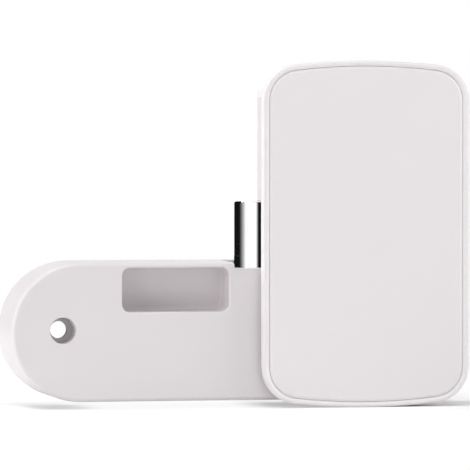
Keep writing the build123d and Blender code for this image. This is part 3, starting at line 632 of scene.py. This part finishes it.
def solids(mesh):
    """The vertices of each separate solid of a bmesh, from left to right and then upwards."""
    left = set(mesh.verts)
    found = []
    while left:
        group = []
        waiting = [left.pop()]
        while waiting:
            vertex = waiting.pop()
            group.append(vertex)
            near = [link.other_vert(vertex) for link in vertex.link_edges]
            fresh = [other for other in near if other in left]
            left.difference_update(fresh)
            waiting.extend(fresh)
        found.append(group)
    return sorted(found, key=left_then_low)


def left_then_low(group):
    """Order of the solids: by their left side to a hundredth of a millimetre, then by their foot."""
    low = group_box(group)[0]
    decimals_of_a_metre = 5
    return round(low.x, decimals_of_a_metre), low.z


def group_box(group):
    """Lowest and highest corner of some vertices."""
    low = Vector([min(vertex.co[axis] for vertex in group) for axis in range(3)])
    high = Vector([max(vertex.co[axis] for vertex in group) for axis in range(3)])
    return low, high


def solid_boxes(node):
    """Lowest and highest corner of each separate solid of a CAD node."""
    copy = merged_copy(node)
    boxes = [group_box(group) for group in solids(copy)]
    copy.free()
    return boxes


def upright_axis(low, high, height=0.0):
    """Radius of an upright round piece between two corners, and its axis's point at a height."""
    return (high.x - low.x) / 2, Vector(((low.x + high.x) / 2, (low.y + high.y) / 2, height))


def around(radius, turn, height):
    """The point at a radius, an angle and a height about the Z axis."""
    return Vector((radius * math.cos(turn), radius * math.sin(turn), height))


def lathe(profile, segments, middle):
    """A bmesh turned about an upright axis through middle, from (radius, height) points; a radius of
    nought closes the shape with one point."""
    mesh = bmesh.new()
    rings = []
    for radius, height in profile:
        points = segments if radius > 0 else 1
        rings.append([mesh.verts.new(around(radius, FULL_TURN * step / points, height) + middle)
                      for step in range(points)])
    for lower, upper in zip(rings, rings[1:]):
        for step in range(segments):
            after = (step + 1) % segments
            corners = [lower[step % len(lower)], lower[after % len(lower)],
                       upper[after % len(upper)], upper[step % len(upper)]]
            unique = list(dict.fromkeys(corners))
            if len(unique) > 2:
                mesh.faces.new(unique)
    bmesh.ops.recalc_face_normals(mesh, faces=mesh.faces)
    return mesh


def quarter(centre_radius, centre_height, reach, start, steps):
    """Points of a quarter circle in a lathe's profile, on from the start angle in degrees."""
    points = []
    for step in range(steps + 1):
        turn = math.radians(start + 90 * step / steps)
        points.append((centre_radius + reach * math.cos(turn), centre_height + reach * math.sin(turn)))
    return points


def shade_mesh(data, sharp):
    """Shades a mesh smooth but for the edges that turn by more than sharp, in degrees."""
    data.shade_smooth()
    data.set_sharp_from_angle(angle=math.radians(sharp))


def to_object(name, mesh, material_name=None, sharp=35.0):
    """A linked object from a bmesh, shaded smooth but for its sharp edges."""
    data = bpy.data.meshes.new(name)
    mesh.to_mesh(data)
    mesh.free()
    shade_mesh(data, sharp)
    if material_name:
        data.materials.append(finish(material_name))
    return add_object(name, data)


def finished_mesh(made, modifier):
    """A plain mesh of what an object's modifier makes, with the modifier taken off."""
    depsgraph = bpy.context.evaluated_depsgraph_get()
    result = bpy.data.meshes.new_from_object(made.evaluated_get(depsgraph), depsgraph=depsgraph)
    made.modifiers.remove(modifier)
    return result


def apply_tree(made, tree, values):
    """Runs a Geometry Nodes tree on an object, sets its named inputs and keeps the result as its mesh."""
    modifier = made.modifiers.new("Build", "NODES")
    modifier.node_group = tree
    for item in tree.interface.items_tree:
        if item.item_type == "SOCKET" and item.in_out == "INPUT" and item.name in values:
            modifier[item.identifier] = values[item.name]
    made.data = finished_mesh(made, modifier)


def new_tree(name, inputs):
    """A Geometry Nodes tree with named inputs, as its graph and its group input's sockets."""
    tree = bpy.data.node_groups.new(name, "GeometryNodeTree")
    tree.is_modifier = True
    tree.interface.new_socket("Geometry", in_out="INPUT", socket_type="NodeSocketGeometry")
    for title, kind in inputs.items():
        tree.interface.new_socket(title, in_out="INPUT", socket_type="NodeSocket" + kind)
    tree.interface.new_socket("Geometry", in_out="OUTPUT", socket_type="NodeSocketGeometry")
    graph = Graph(tree)
    entry = graph.node("NodeGroupInput").socket.node
    return graph, {socket.name: Value(graph, socket) for socket in entry.outputs if socket.name}


def place_object(name, places):
    """A mesh of one point for each place, with its heading and turn as attributes."""
    mesh = bpy.data.meshes.new(name)
    mesh.from_pydata([tuple(point) for point, heading, turn in places], [], [])
    mesh.attributes.new("heading", "FLOAT_VECTOR", "POINT")
    mesh.attributes.new("turn", "FLOAT", "POINT")
    for index, (point, heading, turn) in enumerate(places):
        mesh.attributes["heading"].data[index].vector = heading
        mesh.attributes["turn"].data[index].value = turn
    return add_object(name, mesh)


def finish_instances(graph, given, shape):
    """Sets a shape on each point along the point's heading, spun by its turn, and ends the tree."""
    heading, turn = [graph.node("GeometryNodeInputNamedAttribute", {"data_type": kind}, {"Name": name})
                     for name, kind in (("heading", "FLOAT_VECTOR"), ("turn", "FLOAT"))]
    aim = graph.node("FunctionNodeAlignRotationToVector", {"axis": "Z"}, {"Vector": heading})
    spin = graph.node("FunctionNodeAxisAngleToRotation", inputs={"Axis": (0, 0, 1), "Angle": turn})
    both = graph.node("FunctionNodeRotateRotation", {"rotation_space": "LOCAL"}, {0: aim, 1: spin})
    points = graph.node("GeometryNodeMeshToPoints", inputs={"Mesh": given["Geometry"]})
    copies = graph.node("GeometryNodeInstanceOnPoints", inputs={
        "Points": points, "Instance": shape, "Rotation": both})
    real = graph.node("GeometryNodeRealizeInstances", inputs={0: copies})
    done = graph.node("GeometryNodeSetMaterial", inputs={"Geometry": real, "Material": given["Material"]})
    graph.end(done, "NodeGroupOutput")
    return graph.tree


def spring_tree():
    """Geometry Nodes: a coiled spring with closed ends at each point, turned by the point's attributes."""
    graph, given = new_tree("Coiled springs", {
        "Turns": "Float", "Closed Turns": "Float", "Mean Radius": "Float", "Height": "Float",
        "Wire Radius": "Float", "Steps": "Int", "Sides": "Int", "Material": "Material"})
    steps = graph.node("FunctionNodeFloatToInt", inputs={0: given["Turns"] * given["Steps"]})
    spiral = graph.node("GeometryNodeCurveSpiral", inputs={
        "Resolution": given["Steps"], "Rotations": given["Turns"], "Start Radius": given["Mean Radius"],
        "End Radius": given["Mean Radius"], "Height": 0.0})
    even = graph.node("GeometryNodeResampleCurve", inputs={"Curve": spiral, "Count": steps})
    along = graph.node("GeometryNodeSplineParameter")
    flat = given["Closed Turns"] / given["Turns"]
    rise = graph.slope(along, flat, 1 - flat, 0.0, given["Height"])
    lift = graph.node("ShaderNodeCombineXYZ", inputs={2: rise})
    coil = graph.node("GeometryNodeSetPosition", inputs={"Geometry": even, "Offset": lift})
    section = graph.node("GeometryNodeCurvePrimitiveCircle", inputs={
        "Resolution": given["Sides"], "Radius": given["Wire Radius"]})
    wire = graph.node("GeometryNodeCurveToMesh", inputs={
        "Curve": coil, "Profile Curve": section, "Fill Caps": True})
    return finish_instances(graph, given, wire)


def screw_tree():
    """Geometry Nodes: one object's screw at each point, along the point's heading and spun at random."""
    graph, given = new_tree("Placed screws", {"Screw": "Object", "Seed": "Int", "Material": "Material"})
    shape = graph.node("GeometryNodeObjectInfo", inputs={"Object": given["Screw"]}, output="Geometry")
    chance = graph.node("FunctionNodeRandomValue", {"data_type": "FLOAT"}, {
        "Min": 0.0, "Max": FULL_TURN, "Seed": given["Seed"]}, output="Value")
    turned = graph.node("GeometryNodeStoreNamedAttribute", {"data_type": "FLOAT"}, {
        "Geometry": given["Geometry"], "Name": "turn", "Value": chance})
    return finish_instances(graph, {**given, "Geometry": turned}, shape)


def cross_cutter(sizes):
    """The solid that cuts a cross recess with leaning sides into a screw's head."""
    cutter = bmesh.new()
    for quarter_turn in (0, 1):
        corners = bmesh.ops.create_cube(cutter, size=1.0)["verts"]
        for vertex in corners:
            low = vertex.co.z < 0
            lean = sizes.cross_foot_share if low else 1.0
            point = Vector((vertex.co.x * sizes.cross_length * lean, vertex.co.y * sizes.cross_width * lean,
                            -sizes.cross_depth if low else sizes.cross_depth))
            vertex.co = Matrix.Rotation(quarter_turn * math.pi / 2, 3, "Z") @ point
    bmesh.ops.translate(cutter, verts=cutter.verts, vec=(0, 0, sizes.head_height))
    return cutter


def pan_head(name, sizes):
    """The mesh of a pan head with its cross recess, its seat at the origin."""
    height = sizes.head_height
    crown_height = sizes.crown_share * height
    steps = 9
    crown = quarter(0, 0, 1, 0, steps)[:-1]
    profile = [(0, 0), (sizes.head_radius, 0)]
    profile += [(across * sizes.head_radius, height - crown_height + up * crown_height)
                for across, up in crown]
    profile += [(0, height)]
    made = to_object(name, lathe(profile, sizes.head_sides, Vector()), "zinc", sharp=30.0)
    cutter = to_object(name + "_cutter", cross_cutter(sizes))
    cut = made.modifiers.new("Cross", "BOOLEAN")
    cut.object = cutter
    cut.operation = "DIFFERENCE"
    cut.solver = "EXACT"
    cut.use_self = True
    mesh = finished_mesh(made, cut)
    bpy.data.objects.remove(cutter)
    bpy.data.objects.remove(made)
    return mesh


def screw_shape(name, length):
    """A pan-head self-tapping screw along -Z, its head's seat at the origin."""
    sizes = settings("screws")
    data = pan_head(name, sizes)
    whole = bmesh.new()
    whole.from_mesh(data)
    add_thread(whole, sizes, length)
    bmesh.ops.recalc_face_normals(whole, faces=whole.faces)
    whole.to_mesh(data)
    whole.free()
    shade_mesh(data, sharp=32.0)
    return add_object(name, data)


def add_thread(mesh, sizes, length):
    """Adds a threaded shank with a blunt point under a screw's head."""
    sides = sizes.thread_sides
    rows = int(length / sizes.pitch * sizes.thread_steps)
    core = sizes.shank_radius - sizes.thread_depth
    rings = []
    for row in range(rows + 1):
        depth = length * row / rows
        taper = min(1.0, (length - depth) / sizes.pitch)
        core_here = core * (sizes.point_share + (1 - sizes.point_share) * taper)
        ring = []
        for side in range(sides):
            phase = (depth / sizes.pitch + side / sides) % 1.0
            radius = core_here + sizes.thread_depth * thread_height(phase, sizes) * taper
            ring.append(mesh.verts.new(around(radius, FULL_TURN * side / sides, -depth)))
        rings.append(ring)
    for upper, lower in zip(rings, rings[1:]):
        for side in range(sides):
            after = (side + 1) % sides
            mesh.faces.new((upper[side], upper[after], lower[after], lower[side]))
    mesh.faces.new(rings[-1])
    mesh.faces.new(rings[0])


def thread_height(phase, sizes):
    """Height of the thread, 0 to 1, at a share of its pitch."""
    return max(0.0, 1 - abs(phase - 0.5) / sizes.thread_share)


class LOCK_OT_casings(bpy.types.Operator):
    """Give the housing, battery cover, rear cover, bush and button their moulded finishes"""

    bl_idname = "lock.casings"
    bl_label = "Casings"

    def execute(self, context):
        dress_all({"main_housing": "housing", "battery_cover": "cover", "rear_cover": "rear",
                   "bolt_bushing": "black", "pairing_button": "rear"})
        return {"FINISHED"}


class LOCK_OT_bolt(bpy.types.Operator):
    """Turn the polished bolt with its rounded end, groove, spigot and screw hole"""

    bl_idname = "lock.bolt"
    bl_label = "Bolt"

    def execute(self, context):
        sizes = settings("bolt")
        low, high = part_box("locking_bolt")
        radius, middle = upright_axis(low, high)
        pilot_top = low.z + sizes.pilot_depth
        shoulder = low.z + sizes.spigot_length
        groove = high.z - sizes.groove_drop
        groove_foot = groove - sizes.groove_width
        groove_radius = radius - sizes.groove_depth
        profile = [(0, pilot_top), (sizes.pilot_radius, pilot_top), (sizes.pilot_radius, low.z),
                   (sizes.spigot_radius - sizes.edge, low.z), (sizes.spigot_radius, low.z + sizes.edge),
                   (sizes.spigot_radius, shoulder), (radius - sizes.edge, shoulder),
                   (radius, shoulder + sizes.edge), (radius, groove_foot), (groove_radius, groove_foot),
                   (groove_radius, groove), (radius, groove)]
        profile += quarter(radius - sizes.end_round, high.z - sizes.end_round, sizes.end_round, 0, steps=10)
        profile += [(0, high.z)]
        made = to_object("bolt_polished", lathe(profile, sizes.segments, middle), "chrome", sharp=40.0)
        keep_piece(made, "locking_bolt")
        return {"FINISHED"}


class LOCK_OT_drive(bpy.types.Operator):
    """Finish the carriage with its magnet, the gears, axle, motor and holder"""

    bl_idname = "lock.drive"
    bl_label = "Drive"

    def execute(self, context):
        dress_all({"bolt_carriage": "acetal", "compound_gear": "acetal", "motor_pinion": "acetal",
                   "gear_axle": "zinc", "motor_shaft": "zinc", "motor_gearbox": "black",
                   "motor_can": "can", "motor_end_cap": "black", "motor_holder": "nickel",
                   "carriage_magnet": "nickel"})
        return {"FINISHED"}


class LOCK_OT_cells(bpy.types.Operator):
    """Make the three cells with sleeves, metal ends and nubs, and finish their contact plates"""

    bl_idname = "lock.cells"
    bl_label = "Cells"

    def execute(self, context):
        shades = settings("colours")
        for node, upwards in {"cell_left": True, "cell_middle": False, "cell_right": True}.items():
            low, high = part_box(node)
            made = to_object(node + "_sleeved", self.shape(low, high, upwards), "nickel", sharp=30.0)
            made.data.materials.append(cell_sleeve(node + "_sleeve", shades, low.z, high.z, upwards))
            radius, middle = upright_axis(low, high)
            sleeve_edge = radius - settings("cells").lip
            for polygon in made.data.polygons:
                if (polygon.center - middle).xy.length > sleeve_edge:
                    polygon.material_index = 1
            keep_piece(made, node)
        dress("contact_plates", finish("nickel"))
        return {"FINISHED"}

    def shape(self, low, high, upwards):
        """The bmesh of one cell, its nub up or down."""
        sizes = settings("cells")
        radius, middle = upright_axis(low, high, low.z)
        length = high.z - low.z
        top = length - sizes.nub_height
        inner = radius - sizes.lip
        rounding = radius - sizes.shoulder
        nub = sizes.nub_round
        profile = [(0, 0), (inner - sizes.end_step, 0), (inner, sizes.end_step), (inner, 0)]
        profile += quarter(rounding, sizes.shoulder, sizes.shoulder, -90, steps=5)
        profile += quarter(rounding, top - sizes.shoulder, sizes.shoulder, 0, steps=5)
        profile += [(inner, top), (inner, top - sizes.end_step), (sizes.nub_radius, top - sizes.end_step)]
        profile += quarter(sizes.nub_radius - nub, length - nub, nub, 0, steps=4)
        profile += [(0, length)]
        if not upwards:
            profile = [(reach, length - height) for reach, height in profile]
        return lathe(profile, sizes.segments, middle)


class LOCK_OT_springs(bpy.types.Operator):
    """Coil the contact springs of the cells"""

    bl_idname = "lock.springs"
    bl_label = "Contact springs"

    def execute(self, context):
        sizes = settings("springs")
        boxes = solid_boxes("contact_springs")
        low, high = boxes[0]
        radius = (high.x - low.x) / 2 - sizes.wire_radius
        height = high.z - low.z - 2 * sizes.wire_radius
        plates_low, plates_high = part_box("contact_plates")
        places = []
        for low, high in boxes:
            middle = (low + high) / 2
            heading = UP if middle.z < (plates_low.z + plates_high.z) / 2 else DOWN
            places.append((middle - heading * (height / 2), heading, 0.0))
        made = place_object("contact_springs_coiled", places)
        apply_tree(made, spring_tree(), {
            "Turns": sizes.turns, "Closed Turns": sizes.closed_turns, "Wire Radius": sizes.wire_radius,
            "Mean Radius": radius, "Height": height, "Steps": sizes.segments, "Sides": sizes.sides,
            "Material": finish("nickel")})
        made.data.shade_smooth()
        keep_piece(made, "contact_springs")
        return {"FINISHED"}


class LOCK_OT_screws(bpy.types.Operator):
    """Put a cross-head screw in every screw's place"""

    bl_idname = "lock.screws"
    bl_label = "Screws"

    def execute(self, context):
        tree = screw_tree()
        sizes = settings("screws")
        # Which way the screws' heads face
        headings = {"rear_cover_screws": BACK, "board_screws": BACK, "holder_screws": BACK,
                    "carriage_screw": DOWN}
        for index, (node, heading) in enumerate(headings.items()):
            boxes = solid_boxes(node)
            low, high = boxes[0]
            whole = abs((high - low).dot(heading))
            to_seat = heading * (whole / 2 - sizes.head_height)
            places = [((low + high) / 2 + to_seat, heading, 0.0) for low, high in boxes]
            template = screw_shape(node + "_template", whole - sizes.head_height)
            made = place_object(node + "_threaded", places)
            apply_tree(made, tree, {
                "Screw": template, "Seed": sizes.seed + index, "Material": finish("zinc")})
            bpy.data.objects.remove(template)
            keep_piece(made, node)
        return {"FINISHED"}


class LOCK_OT_electronics(bpy.types.Operator):
    """Finish the control board and what sits on it, and the motor's leads"""

    bl_idname = "lock.electronics"
    bl_label = "Electronics"

    def execute(self, context):
        shades = settings("colours")
        dress_all({"radio_module": "can", "buzzer": "black", "position_sensor": "black",
                   "pairing_switch": "black"})
        dress("control_board", circuit_board("green_board", shades))
        dress("storage_capacitor", capacitor_can("printed_can", shades, *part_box("storage_capacitor")))
        dress("status_led", clear_epoxy("clear_lens", shades))
        self.leads()
        return {"FINISHED"}

    def leads(self):
        """The two motor leads, one red and one black."""
        mesh = merged_copy("motor_leads")
        for index, group in enumerate(solids(mesh)):
            for vertex in group:
                for face in vertex.link_faces:
                    face.material_index = index
        made = to_object("motor_leads_sleeved", mesh, "red", sharp=40.0)
        made.data.materials.append(finish("black"))
        keep_piece(made, "motor_leads")


class LOCK_OT_studio(bpy.types.Operator):
    """Set the pale floor, soft lamps, the glowing cards that paint the bolt's reflections, background and
    camera
    """

    bl_idname = "lock.studio"
    bl_label = "Studio"

    def execute(self, context):
        self.floor()
        self.lamps()
        self.cards()
        self.background(context.scene)
        self.camera(context.scene)
        context.scene.view_settings.view_transform = "Standard"
        return {"FINISHED"}

    def floor(self):
        """A wide pale floor under the lock that shows white to the camera and keeps its shadow near the lock,
        save where white is painted over it, most of all under the arm.
        """
        sizes = settings("studio")
        reach, level = sizes.floor_reach, CAD_BOX[0][2]
        data = bpy.data.meshes.new("floor")
        data.from_pydata([(-reach, -reach, level), (reach, -reach, level), (reach, reach, level),
                          (-reach, reach, level)], [], [(0, 1, 2, 3)])
        made, graph = new_material("pale_floor")
        grain = graph.noise(graph.place(), scale=12.0)
        shade = graph.tones(grain, settings("colours").floor, dark=1.0, light=1.05)
        plain = graph.node("ShaderNodeBsdfDiffuse", inputs={"Color": shade})
        away = graph.vector("LENGTH", graph.place(offset=(-MIDDLE.x, -MIDDLE.y, -level)), output=1)
        # Painted light: where the share is low, white is painted over the floor's shadow
        shown = graph.slope(away, sizes.shadow_near, sizes.shadow_far, 1.0, 0.0) * self.shadow_share(graph)
        near = graph.node("ShaderNodeBsdfDiffuse", inputs={"Color": opaque((1, 1, 1), sizes.contrast)})
        white = graph.node("ShaderNodeEmission", inputs={"Color": (1, 1, 1, 1), "Strength": 1.0})
        both = graph.node("ShaderNodeMixShader", inputs={0: shown, 1: white, 2: near})
        graph.end(graph.node("ShaderNodeMixShader", inputs={0: seen_rays(graph), 1: plain, 2: both}))
        data.materials.append(made)
        add_object("floor", data)

    def shadow_share(self, graph):
        """How much of its shadow the floor shows, from left to right: all of it by the arm's end, little
        under the arm, more at the body's left and all of it under the body's right half."""
        x = graph.axes(graph.place())[0]
        arm_end, body_end = CAD_BOX[0][0], CAD_BOX[1][0]
        sizes = settings("studio")
        under_arm, beside_body = sizes.under_arm, sizes.beside_body
        # Where each change starts and ends, and how much it adds
        steps = [(arm_end + 8 * MM, arm_end + 26 * MM, under_arm - 1),
                 (-1.2 * body_end, -0.7 * body_end, beside_body),
                 (-0.3 * body_end, 0.4 * body_end, 1 - under_arm - beside_body)]
        return 1.0 + sum(graph.slope(x, start, end, 0.0, change, smooth=True) for start, end, change in steps)

    def lamps(self):
        """Soft square lamps: two at the left, a low one at the right, two above and one in front. The bolt
        doesn't mirror the side lamp, which would show through the cards that paint its dark reflections."""
        sizes = settings("studio")
        self.lamp("left_lamp", sizes.left, LEFT, (-1.08, -0.70, 0.25), distance=1.15, width=0.8)
        self.lamp("side_lamp", sizes.side, LEFT, (-1.00, 0.28, 0.15), distance=1.20, width=0.7,
                  mirrored=False)
        self.lamp("right_lamp", sizes.right, RIGHT, (1.00, -0.32, 0.15), distance=0.70, width=0.41)
        self.lamp("top_lamp", sizes.top, UP, (-0.15, -0.35, 1.00), distance=2.00, width=1.3)
        self.lamp("back_lamp", sizes.back, UP, (-0.45, 0.30, 1.00), distance=1.20, width=0.3)
        self.lamp("front_lamp", sizes.front, FRONT, (0.10, -1.00, 0.22), distance=1.60, width=1.2)

    def lamp(self, name, light, facing, direction, distance, width, mirrored=True):
        """A square lamp that stands in a direction from the lock. It throws the given light on a face
        turned to facing, where 1 shows a colour about as it is written."""
        direction = Vector(direction).normalized()
        data = bpy.data.lights.new(name, "AREA")
        data.shape = "SQUARE"
        data.size = width
        data.energy = math.pi ** 2 * distance ** 2 * light / direction.dot(facing)
        made = bpy.data.objects.new(name, data)
        made.location = MIDDLE + direction * distance
        made.rotation_euler = direction.to_track_quat("Z", "Y").to_euler()
        made.visible_glossy = mirrored
        bpy.context.scene.collection.objects.link(made)

    def cards(self):
        """Glowing boards that show only in metal and paint dark reflections on the edges of the polished
        bolt:
        a bent one far off at the left, and close ones round the bolt's foot and round its right side, where
        the lip and the arm would show instead. Each fades to white towards the camera."""
        sizes = settings("studio")
        low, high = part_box("locking_bolt")
        radius, middle = upright_axis(low, high)
        axis = middle.xy
        close = radius + sizes.card_gap
        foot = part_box("bolt_bushing")[1].z + sizes.card_foot
        self.card("left_card", axis, sizes.card_reach, angles=(-160, -10),
                  heights=(CAD_BOX[0][2], sizes.card_height), fade=(22.5, 79))
        self.card("foot_card", axis, close, angles=(-150, -4), heights=(low.z, foot), fade=(12.8, 46))
        self.card("right_card", axis, close, angles=(4, 150),
                  heights=(low.z, high.z + sizes.card_gap), fade=(35, 50))

    def card(self, name, axis, reach, angles, heights, fade):
        """An upright glowing board bent round the bolt's axis, seen only in metal, where it paints a
        reflection.
        The angles are counted from the camera's side, to the right. It fades from light to dark between the
        two angles of fade."""
        steps = 48
        sizes = settings("studio")
        corners = []
        for step in range(steps + 1):
            turn = math.radians(angles[0] + (angles[1] - angles[0]) * step / steps) - sizes.yaw
            place = axis + reach * Vector((math.sin(turn), -math.cos(turn)))
            corners += [(place.x, place.y, height) for height in heights]
        data = bpy.data.meshes.new(name)
        data.from_pydata(corners, [], [(2 * step, 2 * step + 2, 2 * step + 3, 2 * step + 1)
                                       for step in range(steps)])
        made, graph = new_material(name)
        x, y = graph.axes(graph.place(offset=(-axis.x, -axis.y, 0)))[:2]
        turn = abs(graph.math("ARCTAN2", x, 0 - y) + sizes.yaw)
        shade = graph.slope(turn, math.radians(fade[0]), math.radians(fade[1]), sizes.card_light,
                            sizes.card_dark)
        # Painted reflection: the board glows from white to dark and is seen only in metal
        graph.end(graph.node("ShaderNodeEmission", inputs={"Color": (1, 1, 1, 1), "Strength": shade * shade}))
        data.materials.append(made)
        board = add_object(name, data)
        board.visible_camera = board.visible_diffuse = board.visible_shadow = False
        board.visible_transmission = False

    def background(self, scene):
        """Even grey light from all round, shown as white to the camera, in metal and through glass."""
        world = bpy.data.worlds.new("studio")
        graph = blank_graph(world)
        even, white = [
            graph.node("ShaderNodeBackground", inputs={"Color": (1, 1, 1, 1), "Strength": strength})
            for strength in (settings("studio").world, 1.0)]
        done = graph.node("ShaderNodeMixShader", inputs={0: seen_rays(graph), 1: even, 2: white})
        graph.end(done, "ShaderNodeOutputWorld")
        scene.world = world

    def camera(self, scene):
        """A long lens, a little left of the lock's front."""
        sizes = settings("studio")
        level = math.cos(sizes.pitch)
        forward = Vector((math.sin(sizes.yaw) * level, math.cos(sizes.yaw) * level, -math.sin(sizes.pitch)))
        data = bpy.data.cameras.new("camera")
        data.lens = sizes.lens
        data.sensor_width = sizes.sensor
        data.clip_start = 0.05
        data.clip_end = 20.0
        made = bpy.data.objects.new("camera", data)
        target = Vector((sizes.target_x, sizes.target_y, sizes.target_z))
        made.location = target - forward * sizes.distance
        made.rotation_euler = forward.to_track_quat("-Z", "Y").to_euler()
        scene.collection.objects.link(made)
        scene.camera = made


def seen_rays(graph):
    """1 for rays that the camera sends, straight, off metal or through glass, else 0."""
    path = graph.node("ShaderNodeLightPath").socket.node
    camera, mirrored, through = [Value(graph, path.outputs[name]) for name in (
        "Is Camera Ray", "Is Glossy Ray", "Is Transmission Ray")]
    return graph.math("MINIMUM", camera + mirrored + through, 1.0)


OPERATORS = [LOCK_OT_casings, LOCK_OT_bolt, LOCK_OT_drive, LOCK_OT_cells, LOCK_OT_springs, LOCK_OT_screws,
             LOCK_OT_electronics, LOCK_OT_studio]


class LOCK_PT_panel(bpy.types.Panel):
    """Sizes, colours and steps of the cabinet lock."""

    bl_idname = "LOCK_PT_panel"
    bl_label = "Cabinet lock"
    bl_space_type = "VIEW_3D"
    bl_region_type = "UI"
    bl_category = "Cabinet lock"

    def draw(self, context):
        for operator in OPERATORS:
            self.layout.operator(operator.bl_idname)
        for group in GROUPS:
            box = self.layout.box()
            box.label(text=group.title())
            for name in GROUPS[group].__annotations__:
                box.prop(settings(group), name)


CLASSES = [*GROUPS.values(), *OPERATORS, LOCK_PT_panel]


def register():
    """Adds the classes and the scene's settings."""
    for each in CLASSES:
        bpy.utils.register_class(each)
    for name, group in GROUPS.items():
        setattr(bpy.types.Scene, "lock_" + name, PointerProperty(type=group))


def unregister():
    """Takes the classes and the scene's settings away again."""
    for name in GROUPS:
        delattr(bpy.types.Scene, "lock_" + name)
    for each in reversed(CLASSES):
        bpy.utils.unregister_class(each)


def main():
    """Builds the whole scene in order."""
    register()
    bpy.ops.lock.casings()
    bpy.ops.lock.bolt()
    bpy.ops.lock.drive()
    bpy.ops.lock.cells()
    bpy.ops.lock.springs()
    bpy.ops.lock.screws()
    bpy.ops.lock.electronics()
    bpy.ops.lock.studio()


if __name__ == "__main__":
    main()
